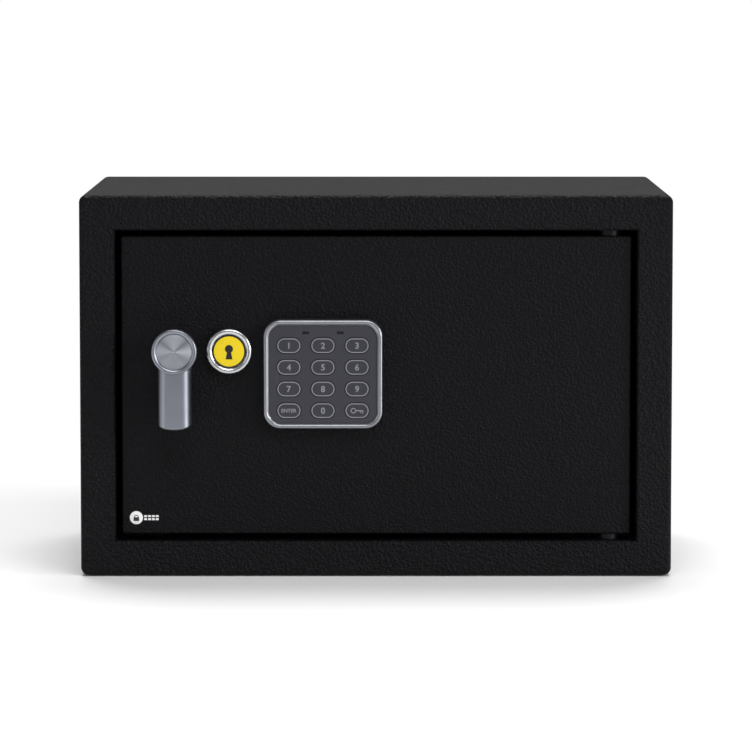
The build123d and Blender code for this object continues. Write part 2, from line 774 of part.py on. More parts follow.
def lock_cylinder():
    """Key lock's body, flanged in front of the door, bored for its plug."""
    rear_y = door_front_y + cylinder_length
    flange_y = door_front_y - cylinder_flange_thickness
    body = rod_y(lock_x, lock_z, cylinder_flange_r, flange_y, door_front_y)
    body = chamfer(at_depth(body, flange_y), 0.4)
    body += rod_y(lock_x, lock_z, cylinder_r, door_front_y, rear_y)
    bore = plug_r + running_clearance
    body -= rod_y(lock_x, lock_z, bore, flange_y - 1, rear_y - cam_thickness)
    return body - rod_y(lock_x, lock_z, plug_neck_r + running_clearance, flange_y, rear_y + 1)


def lock_nut():
    """Nut that clamps the lock's body to the door."""
    outline = RegularPolygon(lock_nut_flats / 2, 6, major_radius=False) - Circle(cylinder_r)
    nut = slab(Pos(lock_x, lock_z) * outline, door_back_y, door_back_y + lock_nut_thickness)
    return nut


def lock_plug():
    """Key plug with its keyway, stepped down to a square tail for the cam."""
    front = door_front_y - cylinder_flange_thickness + plug_sunk
    rear_y = door_front_y + cylinder_length
    step_y = rear_y - cam_thickness - running_clearance
    plug = rod_y(lock_x, lock_z, plug_r, front, step_y)
    plug = chamfer(at_depth(plug, front), 0.3)
    plug += rod_y(lock_x, lock_z, plug_neck_r, step_y, rear_y + running_clearance)
    plug += square_tail(lock_x, lock_z, cam_tail, rear_y, rear_y + running_clearance + cam_thickness)
    keyway = Pos(lock_x, lock_z) * Rectangle(keyway_width, keyway_height)
    return plug - slab(keyway, front - 1, front + keyway_depth)


def cam_front_y():
    """Front of the cam on the plug's tail."""
    return door_front_y + cylinder_length + running_clearance


def lock_cam():
    """Cam on the plug, which points right at rest and presses the plunger's tab down when it is turned."""
    front = cam_front_y()
    tab_top = collar_top_z() - collar_thickness + tab_height
    cam_length = lock_z - tab_top - cam_tab_gap
    outline = Pos(cam_length / 2 - cam_width / 4) * SlotOverall(cam_length + cam_width / 2, cam_width)
    outline += Circle(cam_width * 0.7)
    outline -= Rectangle(cam_tail, cam_tail)
    return slab(Pos(lock_x, lock_z) * outline, front, front + cam_thickness)


def cam_screw():
    """Screw head and washer that hold the cam."""
    front = cam_front_y() + cam_thickness
    seat = front + cam_washer_thickness
    crown = seat + cam_screw_height
    washer = rod_y(lock_x, lock_z, cam_screw_r + cam_washer_rim, front, seat)
    head = rod_y(lock_x, lock_z, cam_screw_r, seat, crown)
    head = fillet(at_depth(head, crown), 0.4 * cam_screw_height)
    reach = 0.62 * cam_screw_r
    half = cam_screw_slot / 2
    slot_floor = crown - cam_screw_height / 2
    head -= box(lock_x - reach, lock_x + reach, slot_floor, crown + 1, lock_z - half, lock_z + half)
    return washer + head


def cap_ring():
    """Push-on cover over the key lock: a domed ring with a recess for its disc."""
    front = door_front_y - cap_height
    rear = door_front_y - cap_gap
    ring = rod_y(lock_x, lock_z, cap_r, front, rear)
    ring = fillet(at_depth(ring, front), cap_edge)
    recess_y = front + cap_disc_sunk + cap_disc_thickness
    ring -= rod_y(lock_x, lock_z, cap_disc_r + cap_groove, front - 1, recess_y)
    web_y = recess_y + cap_web
    bore = cylinder_flange_r + running_clearance
    return ring - rod_y(lock_x, lock_z, bore, web_y, rear + 1)


def cap_disc():
    """Coloured disc in the lock cover."""
    front = door_front_y - cap_height + cap_disc_sunk
    disc = rod_y(lock_x, lock_z, cap_disc_r, front, front + cap_disc_thickness)
    return fillet(at_depth(disc, front), 0.3)


def keypad_outline(inset=0.0):
    """The keypad's outline, drawn in by an inset."""
    outline = RectangleRounded(
        keypad_width - 2 * inset,
        keypad_height - 2 * inset,
        keypad_corner - 0.9 * inset,
    )
    return Pos(keypad_x, keypad_z) * outline


def keypad_bosses():
    """Axes of the keypad's four screw bosses."""
    across = keypad_width / 2 - boss_inset
    up = keypad_height / 2 - boss_inset
    return [(keypad_x + i * across, keypad_z + j * up) for i in (-1, 1) for j in (-1, 1)]


def keypad_housing():
    """Shallow keypad case with a rounded metal rim and four screw bosses."""
    case = slab(keypad_outline(), keypad_front_y, door_front_y)
    case = fillet(at_depth(case, keypad_front_y), keypad_rim_edge)
    case -= slab(keypad_outline(keypad_rim), keypad_front_y - 1, keypad_floor_y)
    inner = fascia_front_y + fascia_thickness
    for x, z in keypad_bosses():
        case += rod_y(x, z, boss_r, inner, keypad_floor_y)
        case -= rod_y(x, z, pad_screw_r, door_front_y - keypad_back - pad_screw_grip, door_front_y + 1)
    return case - rod_y(keypad_x, keypad_z, pad_wire_hole_r, keypad_floor_y - 1, door_front_y + 1)


def key_places():
    """Names and axes of the twelve keys, row by row from the top left."""
    rows = (("1", "2", "3"), ("4", "5", "6"), ("7", "8", "9"), ("enter", "0", "code"))
    places = []
    for row, names in enumerate(rows):
        for column, name in enumerate(names):
            x = keypad_x + (column - 1) * key_pitch_x
            z = keypad_z + key_top_z - row * key_pitch_z
            places.append((name, x, z))
    return places


def led_places():
    """Axes of the two indicator windows."""
    return [(keypad_x + side * led_pitch / 2, keypad_z + led_z) for side in (-1, 1)]


def keypad_fascia():
    """Face plate round the keys, with two indicator windows cut in it."""
    outline = keypad_outline(keypad_rim + fascia_gap)
    for _, x, z in key_places():
        outline -= Pos(x, z) * SlotOverall(key_width + 2 * key_gap, key_height + 2 * key_gap)
    for x, z in led_places():
        outline -= Pos(x, z) * Rectangle(led_width, led_height)
    return slab(outline, fascia_front_y, fascia_front_y + fascia_thickness)


def led_windows():
    """Dark indicator lenses set flush in the face plate."""
    lenses = [
        slab(Pos(x, z) * Rectangle(led_width, led_height), fascia_front_y, fascia_front_y + fascia_thickness)
        for x, z in led_places()
    ]
    return Compound(lenses)


def key(x, z):
    """One stadium-shaped key, standing just proud of the face plate, with a flange behind it."""
    front = fascia_front_y - key_proud
    back = front + key_depth
    cap = slab(Pos(x, z) * SlotOverall(key_width, key_height), front, back)
    cap = fillet(at_depth(cap, front), key_edge)
    grow = 2 * (key_gap + key_flange / 2)
    flange = Pos(x, z) * SlotOverall(key_width + grow, key_height + grow)
    return cap + slab(flange, back - key_flange_thickness, back)


def keypad_board():
    """Contact board behind the keys, notched round the screw bosses."""
    outline = keypad_outline(keypad_rim + 1.0)
    for x, z in keypad_bosses():
        outline -= Pos(x, z) * Circle(boss_r + 0.6)
    return slab(outline, pad_board_front_y, pad_board_front_y + pad_board_thickness)


def keypad_screws():
    """Screws from behind the door into the keypad's bosses."""
    tip = door_front_y - keypad_back - pad_screw_grip
    screws = [
        pan_screw(x, z, pad_screw_r, pad_screw_head_r, pad_screw_head_height, door_back_y, tip)
        for x, z in keypad_bosses()
    ]
    return Compound(screws)


def solenoid_frame():
    """Bent steel yoke round the coil, welded to the door's back."""
    left = solenoid_x - solenoid_width / 2
    right = solenoid_x + solenoid_width / 2
    top_z = solenoid_base_z + solenoid_height
    rear_y = plunger_y + coil_r + solenoid_plate
    spine = box(left, right, door_back_y, plunger_y - coil_r - 0.1, solenoid_base_z, top_z)
    base = box(left, right, door_back_y, rear_y, solenoid_base_z, solenoid_base_z + solenoid_plate)
    head = box(left, right, door_back_y, rear_y, top_z - solenoid_plate, top_z)
    yoke = spine + base + head
    bore = plunger_r + plunger_bore_clearance
    return yoke - rod_z(solenoid_x, plunger_y, bore, top_z - solenoid_plate - 1, top_z + 1)


def solenoid_coil():
    """Wound coil, bored for the plunger."""
    low = solenoid_base_z + solenoid_plate
    high = solenoid_base_z + solenoid_height - solenoid_plate
    coil = rod_z(solenoid_x, plunger_y, coil_r - coil_winding_depth, low + coil_cheek, high - coil_cheek)
    coil += rod_z(solenoid_x, plunger_y, coil_r, low, low + coil_cheek)
    coil += rod_z(solenoid_x, plunger_y, coil_r, high - coil_cheek, high)
    bore = plunger_r + plunger_bore_clearance
    return coil - rod_z(solenoid_x, plunger_y, bore, low + 2.0, high + 1)


def collar_top_z():
    """Top of the drawn-in plunger's collar, which stays below the lug when the plunger is out."""
    return plunger_tip_z - plunger_travel


def solenoid_plunger():
    """Sprung plunger, bevelled so that the lug pushes it aside one way, with a tab for the key cam."""
    low = solenoid_base_z + solenoid_plate + 3.0
    plunger = rod_z(solenoid_x, plunger_y, plunger_r, low, plunger_tip_z)
    edge_x = solenoid_x + plunger_r
    wedge = Polyline(
        (edge_x - plunger_bevel, plunger_tip_z),
        (edge_x, plunger_tip_z - plunger_bevel),
        (edge_x + 1, plunger_tip_z + 1),
        close=True,
    )
    plunger -= slab(make_face(wedge), plunger_y - 2 * plunger_r, plunger_y + 2 * plunger_r)
    collar_high = collar_top_z()
    collar_low = collar_high - collar_thickness
    plunger += rod_z(solenoid_x, plunger_y, collar_r, collar_low, collar_high)
    tab_y = cam_front_y() + cam_thickness
    half = tab_width / 2
    sides = (solenoid_x - half, solenoid_x + half)
    return plunger + box(*sides, plunger_y, tab_y, collar_low, collar_low + tab_height)


def plunger_spring():
    """Compression spring between the yoke and the plunger's collar."""
    low = solenoid_base_z + solenoid_height
    high = collar_top_z() - collar_thickness
    radius = (plunger_r + collar_r) / 2
    height = high - low - 2 * spring_wire_r
    path = Helix(pitch=height / spring_turns, height=height, radius=radius)
    section = Plane(origin=path @ 0, z_dir=path % 0) * Circle(spring_wire_r)
    coil = sweep(section, path=path, is_frenet=True)
    return Pos(solenoid_x, plunger_y, low + spring_wire_r) * coil


def cover_middle():
    """Centre of the inner cover in X and Z."""
    return ((cover_left_x + cover_right_x) / 2, (cover_low_z + cover_high_z) / 2)


def cover_posts_places():
    """Axes of the posts that carry the inner cover."""
    left = cover_left_x + post_inset_x
    right = cover_right_x - post_inset_x
    low = cover_low_z + post_inset_z
    high = cover_high_z - post_inset_z
    return [(left, low), (left, high), (right, low), (right, high)]


def inner_cover():
    """Pressed cover over the bolt work, with round holes for the bolts in its left wall."""
    x, z = cover_middle()
    width = cover_right_x - cover_left_x
    height = cover_high_z - cover_low_z
    shell = slab(Pos(x, z) * RectangleRounded(width, height, cover_corner), door_back_y, cover_back_y)
    shell = fillet(at_depth(shell, cover_back_y), cover_corner * 0.6)
    inside = RectangleRounded(width - 2 * cover_wall, height - 2 * cover_wall, cover_corner - cover_wall / 2)
    shell -= slab(Pos(x, z) * inside, door_back_y - 1, cover_back_y - cover_wall)
    hole = bolt_r + cover_bolt_gap
    for height_z in bolt_axes():
        shell -= rod_x(bolt_y, height_z, hole, cover_left_x - 1, cover_left_x + cover_wall + 1)
        shell -= box(
            cover_left_x - 1,
            cover_left_x + cover_wall + 1,
            door_back_y - 1,
            bolt_y,
            height_z - hole,
            height_z + hole,
        )
    for post_x, post_z in cover_posts_places():
        shell -= rod_y(post_x, post_z, screw_r, cover_back_y - 2 * cover_wall, cover_back_y + 1)
    low = bolt_low_z - guide_end - cover_gap
    high = bolt_high_z + guide_end + cover_gap
    foot_right_x = guide_left_x + guide_foot_width + cover_gap
    foot_back_y = door_back_y + guide_foot_thickness + cover_foot_gap
    shell -= box(cover_left_x - 1, foot_right_x, door_back_y - 1, foot_back_y, low, high)
    shell -= rod_x(lead_y, battery_lead_z, lead_hole_r, cover_right_x - 2 * cover_wall, cover_right_x + 1)
    return shell - rod_y(reset_x, reset_z, reset_r + reset_gap, cover_back_y - 3, cover_back_y + 1)


def cover_posts():
    """Tapped posts welded to the door's back."""
    posts = []
    for x, z in cover_posts_places():
        top = cover_back_y - cover_wall
        post = rod_y(x, z, post_r, door_back_y, top)
        posts.append(post - rod_y(x, z, screw_r, top - cover_screw_grip, top + 1))
    return Compound(posts)


def cover_screws():
    """Screws through the inner cover into its posts."""
    tip = cover_back_y - cover_wall - cover_screw_grip
    screws = [
        pan_screw(x, z, screw_r, cover_screw_head_r, cover_screw_head_height, cover_back_y, tip)
        for x, z in cover_posts_places()
    ]
    return Compound(screws)


def connector_places():
    """Centres of the board's connectors in X and Z, for the keypad, the battery and the solenoid."""
    high = board_z + board_height / 2 - connector_inset
    low = board_z - board_height / 2 + connector_inset
    left = board_x - board_width / 2 + connector_inset + connector_width / 2
    right = board_x + board_width / 2 - connector_inset - connector_width / 2
    return {"keypad": (left, high), "battery": (right, high), "solenoid": (left, low)}


def connector_y():
    """Depth of the connectors' centres."""
    return board_front_y + board_thickness + connector_height / 2


def control_board():
    """Control board on four standoffs, with its switch, connectors, chip and sounder."""
    back = board_front_y + board_thickness
    half_width = board_width / 2
    half_height = board_height / 2
    board = slab(Pos(board_x, board_z) * Rectangle(board_width, board_height), board_front_y, back)
    for i in (-1, 1):
        for j in (-1, 1):
            x = board_x + i * (half_width - standoff_inset)
            z = board_z + j * (half_height - standoff_inset)
            board += rod_y(x, z, standoff_r, door_back_y, board_front_y)
    switch = Pos(reset_x, reset_z) * Rectangle(reset_switch, reset_switch)
    board += slab(switch, back, reset_switch_back_y())
    for x, z in connector_places().values():
        shell = Pos(x, z) * Rectangle(connector_width, connector_depth)
        board += slab(shell, back, back + connector_height)
    chip = Pos(board_x - half_width / 2, board_z) * Rectangle(chip_width, chip_height)
    board += slab(chip, back, back + chip_thickness)
    sounder_x = board_x + sounder_from_middle[0]
    sounder_z = board_z + sounder_from_middle[1]
    board += rod_y(sounder_x, sounder_z, sounder_r, back, back + sounder_height)
    return board


def reset_switch_back_y():
    """Back of the switch that the reset button presses."""
    return cover_back_y - cover_wall - reset_travel - 5.0


def reset_button():
    """Button through the inner cover that puts the lock in code-setting mode."""
    tail_y = reset_switch_back_y() + reset_travel
    button = rod_y(reset_x, reset_z, reset_r, tail_y, cover_back_y + reset_proud)
    button = fillet(at_depth(button, cover_back_y + reset_proud), 0.6)
    collar_back = cover_back_y - cover_wall - 0.1
    return button + rod_y(reset_x, reset_z, reset_collar_r, collar_back - 1.2, collar_back)


def battery_rows():
    """Heights of the cells."""
    low = battery_box_low_z + box_wall + battery_pitch / 2
    return [low + i * battery_pitch for i in range(battery_count)]


def tray_outline(inset=0.0):
    """The battery tray's outline, drawn in by an inset."""
    width = battery_length + battery_nub_height + 2 * contact_gap + 2 * box_wall
    height = battery_count * battery_pitch + 2 * box_wall
    middle = Pos(battery_box_x + width / 2, battery_box_low_z + height / 2)
    return middle * RectangleRounded(width - 2 * inset, height - 2 * inset, tray_corner - inset / 2)


def tray_inside():
    """Left and right ends of the cells' room."""
    left = battery_box_x + box_wall
    return left, left + battery_length + battery_nub_height + 2 * contact_gap


def battery_box():
    """Tray on the door's back that holds the cells, with saddles between them."""
    tray = slab(tray_outline(), door_back_y, tray_rim_y)
    tray -= slab(tray_outline(box_wall), door_back_y + box_wall, tray_rim_y + 1)
    left, right = tray_inside()
    bed = door_back_y + box_wall
    half = saddle_width / 2
    for low, high in zip(battery_rows(), battery_rows()[1:]):
        middle = (low + high) / 2
        ends = (left + saddle_inset, right - saddle_inset)
        tray += box(*ends, bed, bed + saddle_height, middle - half, middle + half)
    return tray


def batteries():
    """Four cells side by side, alternately turned end for end."""
    left, _ = tray_inside()
    cells = []
    for row, z in enumerate(battery_rows()):
        start = left + contact_gap + (battery_nub_height if row % 2 else 0)
        end = start + battery_length
        cell = rod_x(battery_y, z, battery_r, start, end)
        cell = fillet(cell.edges().filter_by(GeomType.CIRCLE), 0.6)
        if row % 2:
            cell += rod_x(battery_y, z, battery_nub_r, start - battery_nub_height, start)
        else:
            cell += rod_x(battery_y, z, battery_nub_r, end, end + battery_nub_height)
        cells.append(cell)
    return Compound(cells)


def battery_contacts():
    """Contact plates and studs at both ends of the cells."""
    left, right = tray_inside()
    half = battery_pitch / 2 - 1.6
    plates = []
    for z in battery_rows():
        for wall, inward in ((left, 1), (right, -1)):
            face = wall + inward * contact_plate
            leaf_low, leaf_high = sorted((wall, face))
            leaf = box(leaf_low, leaf_high, battery_y - half, battery_y + half, z - half, z + half)
            tip_low, tip_high = sorted((face, wall + inward * contact_gap))
            leaf += rod_x(battery_y, z, battery_nub_r, tip_low, tip_high)
            plates.append(leaf)
    return Compound(plates)


def battery_cover():
    """Push-on lid over the cells, with a thumb recess at its top."""
    front = tray_rim_y + lid_gap
    lid = slab(tray_outline(), front, front + lid_thickness)
    lid = fillet(at_depth(lid, front + lid_thickness), 0.6)
    left, right = tray_inside()
    top = battery_rows()[-1]
    scoop_y = front + lid_thickness + thumb_scoop_r - thumb_scoop_depth
    scoop = Pos((left + right) / 2, scoop_y, top) * Rot(0, 90, 0) * Cylinder(thumb_scoop_r, thumb_scoop_width)
    return lid - scoop


def turn_radius(before, corner, after):
    """Radius of the arc at a corner of a route: as large as its two runs allow."""
    arriving = Vector(*corner) - Vector(*before)
    leaving = Vector(*after) - Vector(*corner)
    half_turn = math.radians(arriving.get_angle(leaving)) / 2
    return 0.45 * min(arriving.length, leaving.length) / math.tan(half_turn)


def lead(name, points):
    """Sheathed lead along straight runs joined by arcs."""
    radii = [turn_radius(*points[i : i + 3]) for i in range(len(points) - 2)]
    route = FilletPolyline(*points, radius=radii)
    print(name, "lead", round(route.length, 1), "mm, radii", [round(r, 1) for r in radii])
    section = Plane(origin=route @ 0, z_dir=route % 0) * Circle(wire_r)
    return sweep(section, path=route)


def wiring():
    """The three leads to the control board, from the keypad, the battery tray and the solenoid."""
    depth = connector_y()
    places = connector_places()
    pad_x, pad_z = places["keypad"]
    pad_top = pad_z + connector_depth / 2
    keypad_route = [
        (keypad_x, pad_board_front_y + pad_board_thickness, keypad_z),
        (keypad_x, depth, keypad_z),
        (pad_x, depth, (keypad_z + pad_top) / 2),
        (pad_x, depth, pad_top),
    ]
    cell_x, cell_z = places["battery"]
    cell_top = cell_z + connector_depth / 2
    battery_route = [
        (battery_box_x, lead_y, battery_lead_z),
        (cover_right_x - 10, lead_y, battery_lead_z),
        (cell_x, depth, battery_lead_z - 9),
        (cell_x, depth, cell_top),
    ]
    coil_x, coil_z = places["solenoid"]
    coil_left = coil_x - connector_width / 2
    solenoid_route = [
        (solenoid_x + coil_r - coil_winding_depth, plunger_y, coil_z + 8),
        (solenoid_x + coil_r + 7, plunger_y, coil_z + 8),
        (coil_left - 6, depth, coil_z),
        (coil_left, depth, coil_z),
    ]
    return Compound(
        [
            lead("keypad", keypad_route),
            lead("battery", battery_route),
            lead("solenoid", solenoid_route),
        ]
    )


def parts():
    """Every node and its shape."""
    nodes = {
        "cabinet_shell": cabinet_shell(),
        "front_frame": front_frame(),
        "back_panel": back_panel(),
        "floor_mat": floor_mat(),
        "hinge_brackets": hinge_brackets(),
        "door_plate": door_plate(),
        "door_mark": door_mark(),
        "hinge_rail": hinge_rail(),
        "hinge_pins": hinge_pins(),
        "hinge_spacers": hinge_spacers(),
        "bolt_guide": bolt_guide(),
        "guide_studs": guide_studs(),
        "handle_bush": handle_bush(),
        "lock_cylinder": lock_cylinder(),
        "lock_nut": lock_nut(),
        "keypad_housing": keypad_housing(),
        "keypad_fascia": keypad_fascia(),
        "led_windows": led_windows(),
        "keypad_board": keypad_board(),
        "keypad_screws": keypad_screws(),
        "solenoid_frame": solenoid_frame(),
        "solenoid_coil": solenoid_coil(),
        "plunger_spring": plunger_spring(),
        "inner_cover": inner_cover(),
        "cover_posts": cover_posts(),
        "cover_screws": cover_screws(),
        "battery_box": battery_box(),
        "batteries": batteries(),
        "battery_contacts": battery_contacts(),
        "control_board": control_board(),
        "wiring": wiring(),
        "handle_lever": handle_lever(),
        "handle_disc": handle_disc(),
        "handle_spindle": handle_spindle(),
        "crank": crank(),
        "spindle_clip": spindle_clip(),
        "bolts": bolts(),
        "bolt_plate": bolt_plate(),
        "bolt_screws": bolt_screws(),
        "cap_ring": cap_ring(),
        "cap_disc": cap_disc(),
        "lock_plug": lock_plug(),
        "lock_cam": lock_cam(),
        "cam_screw": cam_screw(),
        "solenoid_plunger": solenoid_plunger(),
        "reset_button": reset_button(),
        "battery_cover": battery_cover(),
    }
    for name, x, z in key_places():
        nodes["key_" + name] = key(x, z)
    return nodes


os.makedirs("parts", exist_ok=True)
for node, shape in parts().items():
    export_step(shape, "parts/" + node + ".step")
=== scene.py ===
"""In-room safe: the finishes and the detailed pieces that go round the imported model.

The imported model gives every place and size. A class builds each sub-assembly, and a small frozen class
makes each finish. Lengths are in metres, and names ending in _mm are in millimetres.
"""

import json
import logging
import math
from abc import ABC, abstractmethod
from dataclasses import dataclass
from enum import Enum
from typing import Callable, ClassVar, Iterable, Optional, Sequence, Union

import bmesh
import bpy
from mathutils import Matrix, Vector


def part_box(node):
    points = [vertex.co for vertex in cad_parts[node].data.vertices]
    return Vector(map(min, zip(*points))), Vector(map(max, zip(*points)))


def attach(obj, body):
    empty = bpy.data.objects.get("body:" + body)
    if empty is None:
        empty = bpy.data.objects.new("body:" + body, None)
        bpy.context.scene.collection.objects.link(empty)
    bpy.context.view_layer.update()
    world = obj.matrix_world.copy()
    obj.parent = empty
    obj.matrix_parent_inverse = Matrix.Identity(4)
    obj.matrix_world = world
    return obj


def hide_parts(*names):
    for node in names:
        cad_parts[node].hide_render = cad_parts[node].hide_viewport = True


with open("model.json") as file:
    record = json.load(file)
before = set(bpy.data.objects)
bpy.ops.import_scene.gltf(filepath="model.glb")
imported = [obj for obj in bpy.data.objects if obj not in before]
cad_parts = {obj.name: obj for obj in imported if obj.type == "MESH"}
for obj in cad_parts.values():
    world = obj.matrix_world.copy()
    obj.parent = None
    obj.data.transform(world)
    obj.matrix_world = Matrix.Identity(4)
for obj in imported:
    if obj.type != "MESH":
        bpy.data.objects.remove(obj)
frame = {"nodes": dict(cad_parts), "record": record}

log = logging.getLogger("safe")
MM = 0.001
Piece = bpy.types.Object
Material = bpy.types.Material
Socket = bpy.types.NodeSocket
Colour = tuple[float, float, float]
Place = Sequence[float]
SLOT_OF = {part["node"]: part["material_slot"] for part in frame["record"]["subparts"]}
BODY_OF = {
    node: body for body, nodes in frame["record"]["behaviour"]["bodies"].items() for node in nodes
}


class Body(Enum):
    """The bodies that the newly modelled pieces ride on, besides the keys' own."""

    DOOR = "door"
    HANDLE = "handle"
    KEY_COVER = "key_cover"
    BATTERY_LID = "battery_lid"


class Part(Enum):
    """What an edit-mode selection is made of."""

    FACES = "FACE"
    EDGES = "EDGE"


# Shader expressions

Value = Union["Signal", float]


@dataclass(frozen=True)
class Signal:
    """A number that varies over a surface. Each operator adds its Math node.

    Attributes:
        graph: The graph that the socket's node is in.
        socket: An output socket.
    """

    graph: "Graph"
    socket: Socket

    def _math(self, operation: str, *values: Value) -> "Signal":
        """One Math node on the values in order."""
        node = self.graph.node("ShaderNodeMath", {"operation": operation}, dict(enumerate(values)))
        return Signal(self.graph, node.outputs[0])

    def __add__(self, other: Value) -> "Signal":
        """Sum."""
        return self._math("ADD", self, other)

    def __radd__(self, other: float) -> "Signal":
        """Sum, with a number first."""
        return self._math("ADD", other, self)

    def __sub__(self, other: Value) -> "Signal":
        """Difference."""
        return self._math("SUBTRACT", self, other)

    def __rsub__(self, other: float) -> "Signal":
        """Difference, with a number first."""
        return self._math("SUBTRACT", other, self)

    def __mul__(self, other: Value) -> "Signal":
        """Product."""
        return self._math("MULTIPLY", self, other)

    def __rmul__(self, other: float) -> "Signal":
        """Product, with a number first."""
        return self._math("MULTIPLY", other, self)

    def __truediv__(self, other: Value) -> "Signal":
        """Quotient."""
        return self._math("DIVIDE", self, other)

    def __gt__(self, other: Value) -> "Signal":
        """1 where this is the greater, else 0."""
        return self._math("GREATER_THAN", self, other)

    def __abs__(self) -> "Signal":
        """Size without sign."""
        return self._math("ABSOLUTE", self)

    def sine(self) -> "Signal":
        """Sine of an angle in radians."""
        return self._math("SINE", self)

    def cosine(self) -> "Signal":
        """Cosine of an angle in radians."""
        return self._math("COSINE", self)

    def exponential(self) -> "Signal":
        """e to this power."""
        return self._math("EXPONENT", self)

    def root(self) -> "Signal":
        """Square root."""
        return self._math("SQRT", self)

    def angle(self, other: "Signal") -> "Signal":
        """Angle in radians whose tangent is this over another."""
        return self._math("ARCTAN2", self, other)


class Graph:
    """A material's nodes, with its principled shader."""

    def __init__(self, name: str) -> None:
        """Starts a material with an output and a principled shader.

        Args:
            name: The material's name.
        """
        self.material = bpy.data.materials.new(name)
        self.material.use_nodes = True
        self.material.node_tree.nodes.clear()
        self.shader = self.node("ShaderNodeBsdfPrincipled")
        self.node("ShaderNodeOutputMaterial", None, {"Surface": self.shader.outputs["BSDF"]})

    def node(
        self,
        kind: str,
        settings: Optional[dict[str, object]] = None,
        inputs: Optional[dict[Union[int, str], object]] = None,
    ) -> bpy.types.Node:
        """Adds a node.

        Args:
            kind: The node's type.
            settings: Its properties, set before its inputs.
            inputs: A value, a Signal or an output socket for each input that isn't left as it is.

        Returns:
            The node.
        """
        made = self.material.node_tree.nodes.new(kind)
        for key, value in (settings or {}).items():
            setattr(made, key, value)
        for key, value in (inputs or {}).items():
            self.feed(made.inputs[key], value)
        return made

    def feed(self, socket: Socket, value: object) -> None:
        """Sets an input to a value, or links a Signal or a socket to it.

        Args:
            socket: The input.
            value: A number, a colour, a vector, a Signal or an output socket.
        """
        if isinstance(value, Signal):
            value = value.socket
        if isinstance(value, Socket):
            self.material.node_tree.links.new(value, socket)
        elif isinstance(value, (tuple, list)) and len(socket.default_value) == 4:
            socket.default_value = (*value, 1.0)
        else:
            socket.default_value = value

    def set(self, **inputs: object) -> None:
        """Sets the principled shader's inputs, with _ for a space in a name."""
        for key, value in inputs.items():
            self.feed(self.shader.inputs[key.replace("_", " ")], value)

    def point(
        self, stretch: Place = (1.0, 1.0, 1.0), centre: Place = (0.0, 0.0, 0.0)
    ) -> Socket:
        """The piece's own coordinates.

        Args:
            stretch: A factor along each axis, where a small one draws a pattern out.
            centre: Where they are measured from.

        Returns:
            The vector's socket.
        """
        place = self.node("ShaderNodeTexCoord").outputs["Object"]
        for operation, vector in (("SUBTRACT", centre), ("MULTIPLY", stretch)):
            settings = {"operation": operation}
            place = self.node("ShaderNodeVectorMath", settings, {0: place, 1: Vector(vector)}).outputs[0]
        return place

    def noise(
        self, point: Socket, grain: float, detail: float = 3.0, warp: float = 0.0
    ) -> Signal:
        """Soft noise from 0 to 1.

        Args:
            point: The coordinates.
            grain: About how far its features are across.
            detail: How many finer layers are laid over it.
            warp: How far it is swirled.

        Returns:
            The noise.
        """
        inputs = {"Vector": point, "Scale": 1 / grain, "Detail": detail, "Distortion": warp}
        return Signal(self, self.node("ShaderNodeTexNoise", None, inputs).outputs[0])

    def cells(self, point: Socket, grain: float) -> Signal:
        """Distance from cell centres about a grain apart, from 0 to about 1."""
        inputs = {"Vector": point, "Scale": 1 / grain, "Smoothness": 0.6}
        node = self.node("ShaderNodeTexVoronoi", {"feature": "SMOOTH_F1"}, inputs)
        return Signal(self, node.outputs["Distance"])

    def axes(self, point: Socket) -> tuple[Signal, ...]:
        """X, Y and Z of a point."""
        split = self.node("ShaderNodeSeparateXYZ", None, {0: point})
        return tuple(Signal(self, output) for output in split.outputs)

    def blend(self, share: Value, low: object, high: object) -> Socket:
        """A colour between two, by a share from 0 to 1."""
        settings = {"data_type": "RGBA", "clamp_factor": True}
        return self.node("ShaderNodeMix", settings, {0: share, 6: low, 7: high}).outputs[2]

    def relief(self, height: Signal, depth: float, strength: float = 1.0) -> Socket:
        """A bumped normal from a height between 0 and 1."""
        inputs = {"Height": height, "Distance": depth, "Strength": strength}
        return self.node("ShaderNodeBump", None, inputs).outputs[0]


def shade(colour: Colour, factor: float) -> Colour:
    """A colour made lighter or darker by a factor."""
    return tuple(min(1.0, part * factor) for part in colour)


def middle_of(node: str) -> Vector:
    """The middle of a node's box."""
    low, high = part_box(node)
    return (low + high) / 2


def front_of(node: str) -> tuple[Vector, Vector]:
    """The middle of the front of a node's box, and the box's width, depth and height."""
    low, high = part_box(node)
    return Vector(((low.x + high.x) / 2, low.y, (low.z + high.z) / 2)), high - low


# Finishes


@dataclass(frozen=True)
class Finish(ABC):
    """What every finish has.

    Attributes:
        name: The material's name, which is the record's material slot or the print's own.
        colour: Its mean colour.
        tones: Its darkest and lightest tone, as factors of its colour.
    """

    name: str
    colour: Colour
    tones: ClassVar[tuple[float, float]] = (0.9, 1.1)

    def material(self) -> Material:
        """Makes the material."""
        graph = Graph(self.name)
        self.wire(graph)
        return graph.material

    def tone(self, graph: Graph, share: Value) -> Socket:
        """The colour between its darkest tone and its lightest, by a share from 0 to 1."""
        darkest, lightest = self.tones
        return graph.blend(share, shade(self.colour, darkest), shade(self.colour, lightest))

    @abstractmethod
    def wire(self, graph: Graph) -> None:
        """Adds the finish's nodes to its graph."""


